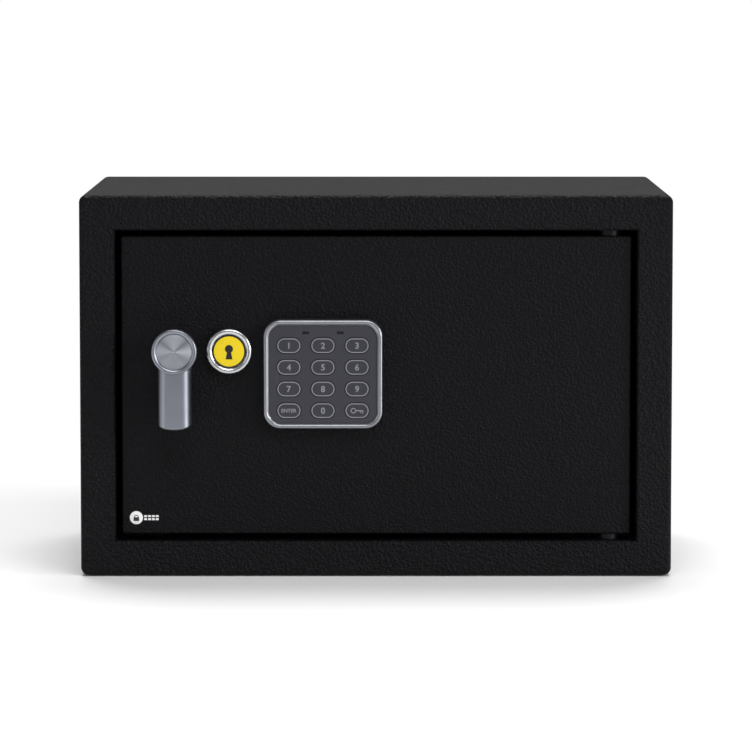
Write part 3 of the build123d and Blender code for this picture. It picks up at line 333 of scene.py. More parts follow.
@dataclass(frozen=True)
class PowderCoat(Finish):
    """Baked powder paint with a leathery relief.

    Attributes:
        roughness: Mean roughness.
        pebble_mm: Size of the relief's pebbles.
        relief_mm: Depth of the relief.
        grit_mm: Size of the fine grit between them.
        gloss: How strongly it reflects, where 0.5 is plain lacquer.
    """

    roughness: float
    pebble_mm: float
    relief_mm: float
    grit_mm: float = 0.22
    gloss: float = 0.11
    tones: ClassVar[tuple[float, float]] = (0.35, 1.8)

    def wire(self, graph: Graph) -> None:
        """Pebbles crossed by finer wrinkles, with grit over both."""
        point = graph.point()
        sway = graph.noise(point, 6 * self.pebble_mm * MM)
        pebbles = graph.cells(point, self.pebble_mm * MM)
        wrinkle = graph.noise(point, 0.7 * self.pebble_mm * MM, detail=2.0, warp=0.6)
        grit = graph.noise(point, self.grit_mm * MM, detail=1.0)
        height = pebbles * 0.55 + wrinkle * 0.45 + grit * 0.12
        graph.set(
            Base_Color=self.tone(graph, pebbles * 0.7 + wrinkle * 0.3),
            Roughness=self.roughness - 0.06 + sway * 0.08 + grit * 0.06,
            Specular_IOR_Level=self.gloss,
            Normal=graph.relief(height, self.relief_mm * MM),
        )


class Grain(Enum):
    """Which way a metal's brushing or drawing runs, as its pattern's stretch."""

    ACROSS = (0.02, 1.0, 1.0)
    UPRIGHT = (1.0, 1.0, 0.02)
    NONE = (1.0, 1.0, 1.0)


@dataclass(frozen=True)
class Metal(Finish):
    """Bare or plated metal with fine directional lines and faint handling marks.

    Attributes:
        roughness: Mean roughness.
        grain: Which way its lines run.
        line_mm: Width of the lines.
        relief_mm: Depth of the lines.
        smudge_mm: Size of the handling marks.
    """

    roughness: float
    grain: Grain = Grain.NONE
    line_mm: float = 0.12
    relief_mm: float = 0.004
    smudge_mm: float = 7.0
    tones: ClassVar[tuple[float, float]] = (0.88, 1.1)

    def wire(self, graph: Graph) -> None:
        """Lines along the grain, and smudges over them."""
        lines = graph.noise(graph.point(self.grain.value), self.line_mm * MM, detail=2.0)
        smudge = graph.noise(graph.point(), self.smudge_mm * MM, detail=3.0, warp=0.4)
        graph.set(
            Base_Color=self.tone(graph, lines * 0.5 + smudge * 0.5),
            Metallic=1.0,
            Roughness=self.roughness - 0.05 + lines * 0.06 + smudge * 0.05,
            Normal=graph.relief(lines, self.relief_mm * MM, 0.6),
        )


@dataclass(frozen=True)
class Spun(Finish):
    """A turned metal face: concentric tool lines, and a painted reflection, which is a fan of lighter and
    darker sectors painted into its colour where the lamps' reflection in the turned grooves would fall.

    Attributes:
        centre: The face's centre, on an axis along Y.
        roughness: Least roughness.
        pitch_mm: Distance between the tool lines.
        line_mm: Depth of the tool lines.
        streak_mm: Width of the streaks drawn through the thickness.
        painted_reflection_fan: Each sector of painted highlight and painted shade, as its direction in
            degrees from +X, its half width in degrees and its brightening, which is negative for painted
            shade.
    """

    centre: Place
    roughness: float = 0.34
    pitch_mm: float = 0.34
    line_mm: float = 0.004
    streak_mm: float = 0.3
    tones: ClassVar[tuple[float, float]] = (0.42, 1.5)
    painted_reflection_fan: ClassVar[tuple[tuple[float, float, float], ...]] = (
        (0.0, 16.0, 0.42),
        (38.0, 13.0, -0.34),
        (88.0, 26.0, 0.16),
        (142.0, 12.0, -0.30),
        (178.0, 16.0, 0.18),
        (205.0, 14.0, -0.14),
        (270.0, 40.0, -0.10),
        (322.0, 14.0, -0.16),
    )

    def wire(self, graph: Graph) -> None:
        """Tool lines by radius, and the painted reflection fan by direction, each sector a smooth bell of
        painted light or painted shade.
        """
        x, _, z = graph.axes(graph.point(centre=self.centre))
        radius = (x * x + z * z).root()
        lines = (radius * (2 * math.pi / (self.pitch_mm * MM))).sine() * 0.5 + 0.5
        streaks = graph.noise(graph.point((1.0, 0.02, 1.0)), self.streak_mm * MM, detail=2.0)
        around = z.angle(x)
        share = lines * 0.10 + streaks * 0.12 + 0.42
        # Painted reflection: sectors by direction round the centre lighten or darken the colour, standing in
        # for the lamps' reflection in the turned grooves.
        for direction, half_width, painted_reflection_gain in self.painted_reflection_fan:
            offset = (around - math.radians(direction)).cosine()
            sharpness = 1.0 / (1.0 - math.cos(math.radians(half_width)))
            share = share + ((offset - 1.0) * sharpness).exponential() * painted_reflection_gain
        graph.set(
            Base_Color=self.tone(graph, share),
            Metallic=1.0,
            Roughness=self.roughness + streaks * 0.05,
            Normal=graph.relief(lines, self.line_mm * MM, 0.7),
        )


@dataclass(frozen=True)
class Moulded(Finish):
    """Moulded plastic or print with a faint spark-eroded texture.

    Attributes:
        roughness: Mean roughness.
        texture_mm: Size of the texture.
        relief_mm: Depth of the texture.
        coat: Weight of the clear coat over it.
        gloss: How strongly it reflects, where 0.5 is plain plastic.
        cloud_mm: Size of the broad variation in tone.
    """

    roughness: float
    texture_mm: float = 0.25
    relief_mm: float = 0.012
    coat: float = 0.0
    gloss: float = 0.5
    cloud_mm: float = 9.0
    tones: ClassVar[tuple[float, float]] = (0.9, 1.12)

    def wire(self, graph: Graph) -> None:
        """A fine texture over broad clouds."""
        point = graph.point()
        texture = graph.noise(point, self.texture_mm * MM, detail=2.0)
        cloud = graph.noise(point, self.cloud_mm * MM, detail=2.0)
        graph.set(
            Base_Color=self.tone(graph, cloud * 0.7 + texture * 0.3),
            Roughness=self.roughness - 0.05 + cloud * 0.06 + texture * 0.04,
            Coat_Weight=self.coat,
            Specular_IOR_Level=self.gloss,
            Normal=graph.relief(texture, self.relief_mm * MM, 0.7),
        )


@dataclass(frozen=True)
class Felt(Finish):
    """Needled felt: matted fibres with a light nap.

    Attributes:
        fibre_mm: Width of the fibres that run along X.
        cross_mm: Width of those that run along Y.
        clump_mm: Size of the clumps.
        relief_mm: Depth of the nap.
    """

    fibre_mm: float = 0.5
    cross_mm: float = 0.45
    clump_mm: float = 4.0
    relief_mm: float = 0.5
    tones: ClassVar[tuple[float, float]] = (0.45, 1.7)

    def wire(self, graph: Graph) -> None:
        """Two layers of swirled fibres, and clumps under them."""
        point = graph.point()
        along = graph.noise(graph.point((0.35, 1.0, 1.0)), self.fibre_mm * MM, detail=4.0, warp=1.6)
        across = graph.noise(graph.point((1.0, 0.35, 1.0)), self.cross_mm * MM, detail=4.0, warp=1.6)
        clump = graph.noise(point, self.clump_mm * MM, detail=3.0)
        fibres = along * 0.5 + across * 0.5
        graph.set(
            Base_Color=self.tone(graph, fibres * 0.75 + clump * 0.25),
            Roughness=0.95,
            Sheen_Weight=0.25,
            Sheen_Roughness=0.5,
            Normal=graph.relief(fibres * 0.8 + clump * 0.4, self.relief_mm * MM),
        )


@dataclass(frozen=True)
class Board(Finish):
    """Circuit board lacquer over copper tracks.

    Attributes:
        pitch_mm: Distance between the tracks, which is that of the parts' legs.
        bend_mm: How far apart the tracks' bends are.
        track_mm: Height of the tracks.
        share: How high the track pattern must be to show as a track.
    """

    pitch_mm: float = 2.54
    bend_mm: float = 12.0
    track_mm: float = 0.02
    share: float = 0.35
    tones: ClassVar[tuple[float, float]] = (1.0, 1.8)

    def wire(self, graph: Graph) -> None:
        """Lighter tracks on darker lacquer."""
        x, _, z = graph.axes(graph.point())
        pitch = self.pitch_mm * MM
        sway = graph.noise(graph.point(), self.bend_mm * MM, detail=0.0)
        tracks = ((x / pitch + sway * 3.0) * 2 * math.pi).sine() * ((z / pitch) * math.pi).sine()
        graph.set(
            Base_Color=self.tone(graph, tracks > self.share),
            Roughness=0.3,
            Normal=graph.relief(tracks, self.track_mm * MM),
        )


@dataclass(frozen=True)
class Winding(Finish):
    """Tape wound round a coil.

    Attributes:
        pitch_mm: Distance between the turns.
        step_mm: Height of a turn's edge.
    """

    pitch_mm: float = 1.2
    step_mm: float = 0.08
    tones: ClassVar[tuple[float, float]] = (0.7, 1.2)

    def wire(self, graph: Graph) -> None:
        """Turns one above the other."""
        _, _, z = graph.axes(graph.point())
        turns = (z * (2 * math.pi / (self.pitch_mm * MM))).sine() * 0.5 + 0.5
        graph.set(
            Base_Color=self.tone(graph, turns),
            Roughness=0.4,
            Normal=graph.relief(turns, self.step_mm * MM),
        )


@dataclass(frozen=True)
class Sleeve(Finish):
    """Printed sleeve of a dry cell, with metallic bands at both ends.

    Attributes:
        band: The bands' colour.
        centre: Where the cells' length is centred.
        plain_mm: Half the length between the bands.
        scuff_mm: Width of the scuffs along the cell.
    """

    band: Colour
    centre: Place
    plain_mm: float = 16.0
    scuff_mm: float = 1.0

    def wire(self, graph: Graph) -> None:
        """The bands by distance from the middle, with scuffs in the gloss."""
        x, _, _ = graph.axes(graph.point(centre=self.centre))
        scuff = graph.noise(graph.point((0.1, 1.0, 1.0)), self.scuff_mm * MM, detail=3.0)
        banded = abs(x) > self.plain_mm * MM
        graph.set(
            Base_Color=graph.blend(banded, self.colour, self.band),
            Metallic=banded * 0.8,
            Roughness=0.25 + scuff * 0.15,
        )


class Finishes:
    """The safe's finishes, each made once and found by its name."""

    BLACK: ClassVar[Colour] = (0.0027, 0.0025, 0.0036)

    def __init__(self) -> None:
        """Makes every finish."""
        self._made = {finish.name: finish.material() for finish in self.recipes()}

    def __getitem__(self, name: str) -> Material:
        """The finish of a name."""
        return self._made[name]

    def recipes(self) -> tuple[Finish, ...]:
        """Every finish with its colour and its texture."""
        return (
            PowderCoat("cabinet_paint", self.BLACK, 0.38, 1.5, 1.5),
            PowderCoat("door_paint", shade(self.BLACK, 0.9), 0.40, 1.3, 0.75),
            PowderCoat("cover_paint", (0.012, 0.012, 0.014), 0.38, 0.8, 0.05),
            Felt("floor_felt", (0.030, 0.031, 0.035)),
            Moulded("print_white", (0.78, 0.78, 0.78), 0.5, 0.1, 0.004),
            Moulded("print_grey", (0.20, 0.20, 0.225), 0.5, 0.1, 0.004),
            Moulded("print_black", (0.012, 0.011, 0.010), 0.35, 0.1, 0.004),
            Metal("plated_steel", (0.56, 0.57, 0.60), 0.36, line_mm=0.4),
            Metal("bolt_steel", (0.66, 0.67, 0.70), 0.2, Grain.ACROSS),
            Metal("handle_metal", (0.275, 0.29, 0.33), 0.34, Grain.UPRIGHT, 0.1),
            Spun("turned_metal", (0.50, 0.52, 0.57), middle_of("handle_disc")),
            Metal("cap_chrome", (0.66, 0.67, 0.69), 0.24, line_mm=0.3),
            Moulded("cap_yellow", (0.80, 0.60, 0.008), 0.28, 0.3, 0.004, 0.6),
            Metal("lock_nickel", (0.60, 0.58, 0.54), 0.25),
            Metal("plug_brass", (0.66, 0.48, 0.20), 0.28),
            Metal("bezel_metal", (0.32, 0.33, 0.362), 0.34),
            Moulded("fascia_grey", (0.024, 0.024, 0.034), 0.5),
            Moulded("key_grey", (0.021, 0.021, 0.031), 0.52),
            Moulded("lens_dark", (0.006, 0.006, 0.007), 0.15, 0.3, 0.002, 0.5),
            Board("board_green", (0.012, 0.075, 0.030)),
            Winding("coil_tape", (0.50, 0.30, 0.04)),
            Metal("spring_steel", (0.50, 0.51, 0.53), 0.3),
            Moulded("tray_plastic", (0.006, 0.006, 0.007), 0.42, 0.4, 0.03, gloss=0.2),
            Sleeve("cell_sleeve", (0.02, 0.035, 0.07), (0.60, 0.38, 0.14), middle_of("batteries")),
            Metal("contact_nickel", (0.64, 0.61, 0.54), 0.25),
            Moulded("button_red", (0.50, 0.02, 0.02), 0.3, 0.3, 0.004),
            Moulded("lead_sheath", (0.03, 0.03, 0.035), 0.5),
        )


# Modelling by operators

Test = Callable[[Vector, Vector], bool]
SMOOTH_ANGLE = math.radians(32)
SHARP_ANGLE = math.radians(40)
FLAT_ANGLE = math.radians(1.5)
EDGE_SEGMENTS = 3
MERGE = 1e-7  # points nearer than this are one
FACING = 0.9  # least part of a normal along an axis, for a face that faces that way
CAPITAL_SHARE = 0.7  # a capital's height, as a share of the letters' size
SUNK = 0.02 * MM  # how deep the back of a print lies in what it is printed on
Y_AXIS = Vector((0.0, 1.0, 0.0))
FACING_FRONT = (math.pi / 2, 0.0, 0.0)


def deselect() -> None:
    """Deselects every object."""
    bpy.ops.object.select_all(action="DESELECT")


def take_up(obj: Piece) -> None:
    """Makes an object the only one selected, and active."""
    deselect()
    bpy.context.view_layer.objects.active = obj
    obj.select_set(True)


class Editing:
    """Edit mode on one object, for the length of a with block."""

    def __init__(self, obj: Piece) -> None:
        """Names the object to edit."""
        self.obj = obj

    def __enter__(self) -> "Editing":
        """Goes into edit mode with everything selected."""
        take_up(self.obj)
        bpy.ops.object.mode_set(mode="EDIT")
        self.whole()
        return self

    def __exit__(self, *_: object) -> None:
        """Goes back to object mode."""
        bpy.ops.object.mode_set(mode="OBJECT")

    def pick(self, part: Part, test: Test) -> None:
        """Selects only what passes a test.

        Args:
            part: Faces or edges.
            test: Takes a centre and a normal, which for an edge is the direction of its run.
        """
        bpy.ops.mesh.select_mode(type=part.value)
        bpy.ops.mesh.select_all(action="DESELECT")
        mesh = bmesh.from_edit_mesh(self.obj.data)
        if part is Part.FACES:
            for face in mesh.faces:
                face.select_set(test(face.calc_center_median(), face.normal))
        else:
            for edge in mesh.edges:
                first, last = (vertex.co for vertex in edge.verts)
                edge.select_set(test((first + last) / 2, (last - first).normalized()))
        mesh.select_flush_mode()
        bmesh.update_edit_mesh(self.obj.data)

    def extrude(self, by: Place) -> None:
        """Extrudes what is selected by a vector."""
        bpy.ops.mesh.extrude_region_move(TRANSFORM_OT_translate={"value": by})

    def whole(self) -> None:
        """Selects everything, by its faces."""
        bpy.ops.mesh.select_mode(type="FACE")
        bpy.ops.mesh.select_all(action="SELECT")

    def paint(self, index: int) -> None:
        """Gives the selected faces the object's material of a number."""
        mesh = bmesh.from_edit_mesh(self.obj.data)
        for face in mesh.faces:
            if face.select:
                face.material_index = index
        bmesh.update_edit_mesh(self.obj.data)


def place_in_mesh(obj: Piece) -> None:
    """Moves an object's place, turn and scale into its mesh."""
    take_up(obj)
    bpy.ops.object.transform_apply(location=True, rotation=True, scale=True)


def outward(obj: Piece) -> None:
    """Merges doubles and points every face outwards."""
    with Editing(obj):
        bpy.ops.mesh.remove_doubles(threshold=MERGE)
        bpy.ops.mesh.normals_make_consistent(inside=False)


def apply(obj: Piece, modifier: bpy.types.Modifier) -> None:
    """Applies an object's modifier."""
    take_up(obj)
    bpy.ops.object.modifier_apply(modifier=modifier.name)


def bevel(obj: Piece, width_mm: float) -> None:
    """Rounds an object's sharp edges.

    Args:
        obj: The object.
        width_mm: How far from an edge the rounding starts.
    """
    modifier = obj.modifiers.new("edges", "BEVEL")
    modifier.width = width_mm * MM
    modifier.segments = EDGE_SEGMENTS
    modifier.limit_method = "ANGLE"
    modifier.angle_limit = SHARP_ANGLE
    modifier.harden_normals = False
    apply(obj, modifier)


def smooth(obj: Piece) -> None:
    """Shades an object smooth, except at its sharp edges."""
    take_up(obj)
    bpy.ops.object.shade_smooth_by_angle(angle=SMOOTH_ANGLE)


def flatten(obj: Piece) -> None:
    """Weights an object's normals by face area and angle, so that its flat faces shade flat."""
    modifier = obj.modifiers.new("normals", "WEIGHTED_NORMAL")
    modifier.mode = "FACE_AREA_WITH_ANGLE"
    modifier.weight = 50
    modifier.keep_sharp = True
    apply(obj, modifier)


def block(name: str, low: Place, high: Place, round_mm: float = 0.0) -> Piece:
    """A block between two corners.

    Args:
        name: The piece's name.
        low: Its lowest corner.
        high: Its highest corner.
        round_mm: How far its edges are rounded, or 0 to leave them.

    Returns:
        The piece.
    """
    low, high = Vector(low), Vector(high)
    deselect()
    bpy.ops.mesh.primitive_cube_add(size=1.0, location=(low + high) / 2)
    made = bpy.context.object
    made.name = name
    made.scale = high - low
    place_in_mesh(made)
    if round_mm:
        bevel(made, round_mm)
    smooth(made)
    return made


def round_plate(name: str, centre: Place, radius: float, sides: int) -> Piece:
    """A flat round face towards the front, which is where turned pieces start.

    Args:
        name: The piece's name.
        centre: Its centre.
        radius: Its radius.
        sides: How many sides it has.

    Returns:
        The piece.
    """
    deselect()
    bpy.ops.mesh.primitive_circle_add(
        vertices=sides, radius=radius, fill_type="NGON", location=centre, rotation=FACING_FRONT
    )
    made = bpy.context.object
    made.name = name
    place_in_mesh(made)
    return made


def turned(
    name: str, centre: Vector, stations: Sequence[tuple[float, float]], sides: int = 96
) -> Piece:
    """A turned solid about an axis along Y, extruded from ring to ring.

    Args:
        name: The piece's name.
        centre: A point on its axis.
        stations: Each ring's radius and its depth along Y from the centre, in order.
        sides: How many sides a ring has.

    Returns:
        The piece.
    """
    radius, depth = stations[0]
    made = round_plate(name, centre + Y_AXIS * depth, radius, sides)
    with Editing(made) as edit:
        for (near, start), (far, end) in zip(stations, stations[1:]):
            edit.extrude(Y_AXIS * (end - start))
            share = far / near
            bpy.ops.transform.resize(value=(share, 1.0, share), center_override=centre + Y_AXIS * end)
    outward(made)
    smooth(made)
    return made


def stadium(
    name: str, centre: Place, size: tuple[float, float], depth: float, sides: int = 48
) -> Piece:
    """A stadium-shaped plate facing the front, extruded backwards.

    Args:
        name: The piece's name.
        centre: The middle of its front face.
        size: Its width and height.
        depth: Its thickness.
        sides: How many sides its two round ends have together.

    Returns:
        The piece.
    """
    centre = Vector(centre)
    width, height = size
    made = round_plate(name, centre, height / 2, sides)
    with Editing(made) as edit:
        bpy.ops.transform.rotate(value=math.pi / sides, orient_axis="Y", center_override=centre)
        bpy.ops.mesh.select_mode(type="VERT")
        for side in (-1, 1):
            bpy.ops.mesh.select_all(action="DESELECT")
            mesh = bmesh.from_edit_mesh(made.data)
            for vertex in mesh.verts:
                vertex.select_set(side * (vertex.co.x - centre.x) > 0)
            mesh.select_flush_mode()
            bmesh.update_edit_mesh(made.data)
            bpy.ops.transform.translate(value=(side * (width - height) / 2, 0.0, 0.0))
        edit.whole()
        edit.extrude(Y_AXIS * depth)
    outward(made)
    return made


def lettering(
    name: str, text: str, centre: Place, height: float, thickness: float, weight: float
) -> Piece:
    """Plain characters facing the front, as a mesh.

    Args:
        name: The piece's name.
        text: The characters.
        centre: The middle of the characters' front face.
        height: Height of a capital or a figure.
        thickness: Their thickness.
        weight: How much their strokes are thickened.

    Returns:
        The piece.
    """
    deselect()
    bpy.ops.object.text_add(location=(0.0, 0.0, 0.0), rotation=FACING_FRONT)
    made = bpy.context.object
    made.name = name
    made.data.body = text
    made.data.size = height / CAPITAL_SHARE
    made.data.extrude = thickness / 2
    made.data.offset = weight
    made.data.align_x = "CENTER"
    take_up(made)
    bpy.ops.object.convert(target="MESH")
    place_in_mesh(made)
    points = [vertex.co for vertex in made.data.vertices]
    low = Vector([min(point[i] for point in points) for i in range(3)])
    high = Vector([max(point[i] for point in points) for i in range(3)])
    middle = Vector(((low.x + high.x) / 2, low.y, (low.z + high.z) / 2))
    made.location = Vector(centre) - middle
    place_in_mesh(made)
    outward(made)
    return made


def joined(name: str, pieces: Sequence[Piece]) -> Piece:
    """Several pieces as one object.

    Args:
        name: The object's name.
        pieces: The pieces, which it takes up.

    Returns:
        The object.
    """
    take_up(pieces[0])
    for piece in pieces:
        piece.select_set(True)
    bpy.ops.object.join()
    made = bpy.context.object
    made.name = name
    return made


def dressed(node: str, edge_mm: float = 0.0) -> Piece:
    """A merged copy of a node with broken edges and smooth curves.

    Args:
        node: The node.
        edge_mm: How far its sharp edges are broken, or 0 to leave them.

    Returns:
        The copy, not yet riding on anything.
    """
    source = frame["nodes"][node]
    made = bpy.data.objects.new(node + "_dressed", source.data.copy())
    bpy.context.scene.collection.objects.link(made)
    with Editing(made):
        bpy.ops.mesh.remove_doubles(threshold=MERGE)
        if edge_mm:
            bpy.ops.mesh.dissolve_limited(angle_limit=FLAT_ANGLE)
    if edge_mm:
        bevel(made, edge_mm)
    smooth(made)
    flatten(made)
    return made


# The safe


@dataclass
class SubAssembly:
    """A part of the safe that is dressed together.

    Attributes:
        finishes: The safe's finishes.
        plain: The nodes that only get their finish, with their edges as they are.
    """

    finishes: Finishes
    plain: ClassVar[tuple[str, ...]] = ()

    def build(self) -> None:
        """Dresses the plain nodes."""
        for node in self.plain:
            self.dress(node)

    def dress(self, node: str, edge_mm: float = 0.0) -> Piece:
        """Replaces a node by a merged copy in the finish that the record gives it.

        Args:
            node: The node.
            edge_mm: How far its sharp edges are broken.

        Returns:
            The copy.
        """
        slot = SLOT_OF[node]
        return self.settle(dressed(node, edge_mm), BODY_OF[node], slot, [slot], node)

    def coat(self, piece: Piece, names: Iterable[str]) -> None:
        """Gives a piece its finishes, and keeps its faces' material numbers.

        Args:
            piece: The piece.
            names: The finishes' names, in the order of those numbers.
        """
        for index, name in enumerate(names):
            if index < len(piece.data.materials):
                piece.data.materials[index] = self.finishes[name]
            else:
                piece.data.materials.append(self.finishes[name])

    def settle(
        self, piece: Piece, body: str, slot: str, finishes: Iterable[str], *stands_for: str
    ) -> Piece:
        """Gives a finished piece its finishes and body, and hides the nodes it stands for.

        Args:
            piece: The piece.
            body: The body it rides on.
            slot: The record's material slot that it takes its finish from; not used.
            finishes: Its finishes' names, in the order of its faces' material numbers.
            stands_for: The nodes it replaces.

        Returns:
            The piece.
        """
        self.coat(piece, finishes)
        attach(piece, body)
        if stands_for:
            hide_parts(*stands_for)
        log.info("%s: %d faces, on %s", piece.name, len(piece.data.polygons), body)
        return piece


@dataclass
class Cabinet(SubAssembly):
    """The welded steel cabinet and its mat.

    Attributes:
        lip_edge_mm: Rounding of the front's cut edges round the door.
        mat_edge_mm: Rounding of the mat's cut edges.
        hole_r: Radius of the holes punched in the mat; not used.
        corner_r: Radius of the mat's corners; not used.
    """

    lip_edge_mm: float = 0.9
    mat_edge_mm: float = 0.8
    hole_r: float = 12.0 * MM
    corner_r: float = 4.0 * MM
    plain: ClassVar[tuple[str, ...]] = ("cabinet_shell", "back_panel", "hinge_brackets")

    def build(self) -> None:
        """Dresses the pressings, the hinge brackets and the mat."""
        super().build()
        self.dress("front_frame", self.lip_edge_mm)
        self.lay_mat()

    def lay_mat(self) -> None:
        """Makes the felt mat that lies on the floor."""
        piece = self.dress("floor_mat", self.mat_edge_mm)


@dataclass
class Door(SubAssembly):
    """The door plate, its hinge and its printed mark.

    Attributes:
        plate_edge_mm: Rounding of the plate's sharp edges.
        print_edge_mm: Rounding of the printed dashes' and padlock's edges.
        dash: Width and height of one printed dash.
        dash_gap: Between the printed disc and the first dash.
        dash_space: Between the last dash's end and where a fifth would start.
        dash_row: From the mark's middle line to the middle of a row of dashes.
        print_mm: How far the padlock stands in front of the disc, which is white print.
        padlock_body: Width of the padlock's body, and its lowest and highest level on the disc.
        shackle: Radius of the padlock's shackle, and the width of its strip.
    """

    plate_edge_mm: float = 0.3
    print_edge_mm: tuple[float, float] = (0.04, 0.02)
    dash: tuple[float, float] = (1.55 * MM, 1.05 * MM)
    dash_gap: float = 0.6 * MM
    dash_space: float = 0.45 * MM
    dash_row: float = 0.8 * MM
    print_mm: float = 0.04
    padlock_body: tuple[float, float, float] = (2.9 * MM, -1.75 * MM, 0.25 * MM)
    shackle: tuple[float, float] = (1.0 * MM, 0.42 * MM)
    plain: ClassVar[tuple[str, ...]] = ("hinge_rail", "hinge_pins", "hinge_spacers")

    def build(self) -> None:
        """Dresses the plate and the hinge, and prints the mark."""
        self.dress("door_plate", self.plate_edge_mm)
        super().build()
        self.print_mark()

    def print_mark(self) -> None:
        """A white disc with a padlock, and two rows of plain dashes beside it."""
        low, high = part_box("door_mark")
        radius = (high.z - low.z) / 2
        centre = Vector((low.x + radius, low.y, (low.z + high.z) / 2))
        rim = 0.03 * MM
        stations = ((radius * 0.985, 0.0), (radius, rim), (radius, high.y - low.y))
        disc = turned("mark_disc", centre, stations, 48)
        dashes = self.dashes(centre, centre.x + radius + self.dash_gap, high)
        mark = joined("mark_print", [disc, *dashes])
        self.settle(mark, Body.DOOR.value, "print_white", ["print_white"], "door_mark")
        self.settle(self.padlock(centre), Body.DOOR.value, "print_white", ["print_black"])

    def dashes(self, centre: Vector, first: float, end: Vector) -> list[Piece]:
        """Two rows of four dashes.

        Args:
            centre: The middle of the front of the disc beside them.
            first: Where along X the first dash starts.
            end: The mark's highest corner, where the last dash ends.

        Returns:
            The dashes.
        """
        width, height = self.dash
        per_row = 4
        pitch = (end.x - first + self.dash_space) / per_row
        made = []
        for row in (-1, 1):
            for column in range(per_row):
                x = first + column * pitch
                z = centre.z + row * self.dash_row
                corner = (x, centre.y, z - height / 2)
                made.append(block("dash", corner, (x + width, end.y, z + height / 2), self.print_edge_mm[0]))
        return made

    def padlock(self, centre: Vector) -> Piece:
        """A plain padlock pictogram, just proud of the disc.

        Args:
            centre: The middle of the disc's front.

        Returns:
            The pictogram.
        """
        front = centre - Y_AXIS * self.print_mm * MM
        width, foot, shoulder = self.padlock_body
        thick = self.print_mm * MM + SUNK
        low = front + Vector((-width / 2, 0.0, foot))
        high = front + Vector((width / 2, thick, shoulder))
        body = block("padlock_body", low, high, self.print_edge_mm[1])
        radius, strip = self.shackle
        top = front + Vector((0.0, 0.0, shoulder))
        return joined("mark_padlock", [body, arch_strip("padlock_shackle", top, radius, strip, thick)])


def arch_strip(
    name: str, centre: Vector, radius: float, width: float, thickness: float
) -> Piece:
    """A half-round strip standing on its two ends, spun from a small block's end face.

    Args:
        name: The piece's name.
        centre: The centre of its front face's curve.
        radius: Radius of the strip's middle.
        width: Width of the strip.
        thickness: Its thickness along Y.

    Returns:
        The piece.
    """
    foot = 0.1 * MM
    low = centre + Vector((radius - width / 2, 0.0, -foot))
    high = centre + Vector((radius + width / 2, thickness, 0.0))
    made = block(name, low, high)
    with Editing(made) as edit:
        edit.pick(Part.FACES, lambda _, normal: normal.z > FACING)
        bpy.ops.mesh.spin(steps=16, angle=math.pi, center=centre, axis=Y_AXIS)
    outward(made)
    return made


@dataclass
class BoltWork(SubAssembly):
    """The bolts, their guide and the slide plate."""

    plain: ClassVar[tuple[str, ...]] = ("bolts", "bolt_guide", "bolt_plate", "bolt_screws", "guide_studs")


@dataclass
class Handle(SubAssembly):
    """The lever handle with its turned disc, and the spindle behind it.

    Attributes:
        chamfer: Width of the chamfer round the disc, and of the rim inside it.
        groove: Width and depth of the groove inside the rim.
        rings: How many turned steps the disc's face has.
        ring_depth: Height of the steps.
        dimple: Radius of the centre dimple, its depth halfway in and its full depth.
    """

    chamfer: float = 0.14 * MM
    groove: tuple[float, float] = (0.45 * MM, 0.16 * MM)
    rings: int = 20
    ring_depth: float = 0.012 * MM
    dimple: tuple[float, float, float] = (0.5 * MM, 0.3 * MM, 0.42 * MM)
    plain: ClassVar[tuple[str, ...]] = (
        "handle_lever", "handle_spindle", "handle_bush", "crank", "spindle_clip",
    )

    def build(self) -> None:
        """Dresses the lever and spindle, and turns the disc."""
        super().build()
        self.turn_disc()

    def turn_disc(self) -> None:
        """The disc in the head: a chamfered rim, a groove, fine turned rings and a dimple."""
        centre, size = front_of("handle_disc")
        radius = size.x / 2
        width, depth = self.groove
        rim = radius - 2 * self.chamfer
        face = rim - width
        stations = [
            (radius, size.y),
            (radius, self.chamfer),
            (radius - self.chamfer, 0.0),
            (rim, 0.0),
            (rim - width * 0.3, depth),
            (face + width * 0.2, depth),
            (face, 0.0),
        ]
        dimple_r, halfway, bottom = self.dimple
        step = (face - dimple_r) / self.rings
        for ring in range(1, self.rings):
            stations.append((face - ring * step, self.ring_depth if ring % 2 else 0.0))
        stations += [(dimple_r, 0.0), (dimple_r * 0.6, halfway), (dimple_r * 0.1, bottom)]
        disc = turned("turned_disc", centre, stations)
        self.settle(disc, Body.HANDLE.value, "turned_metal", ["turned_metal"], "handle_disc")


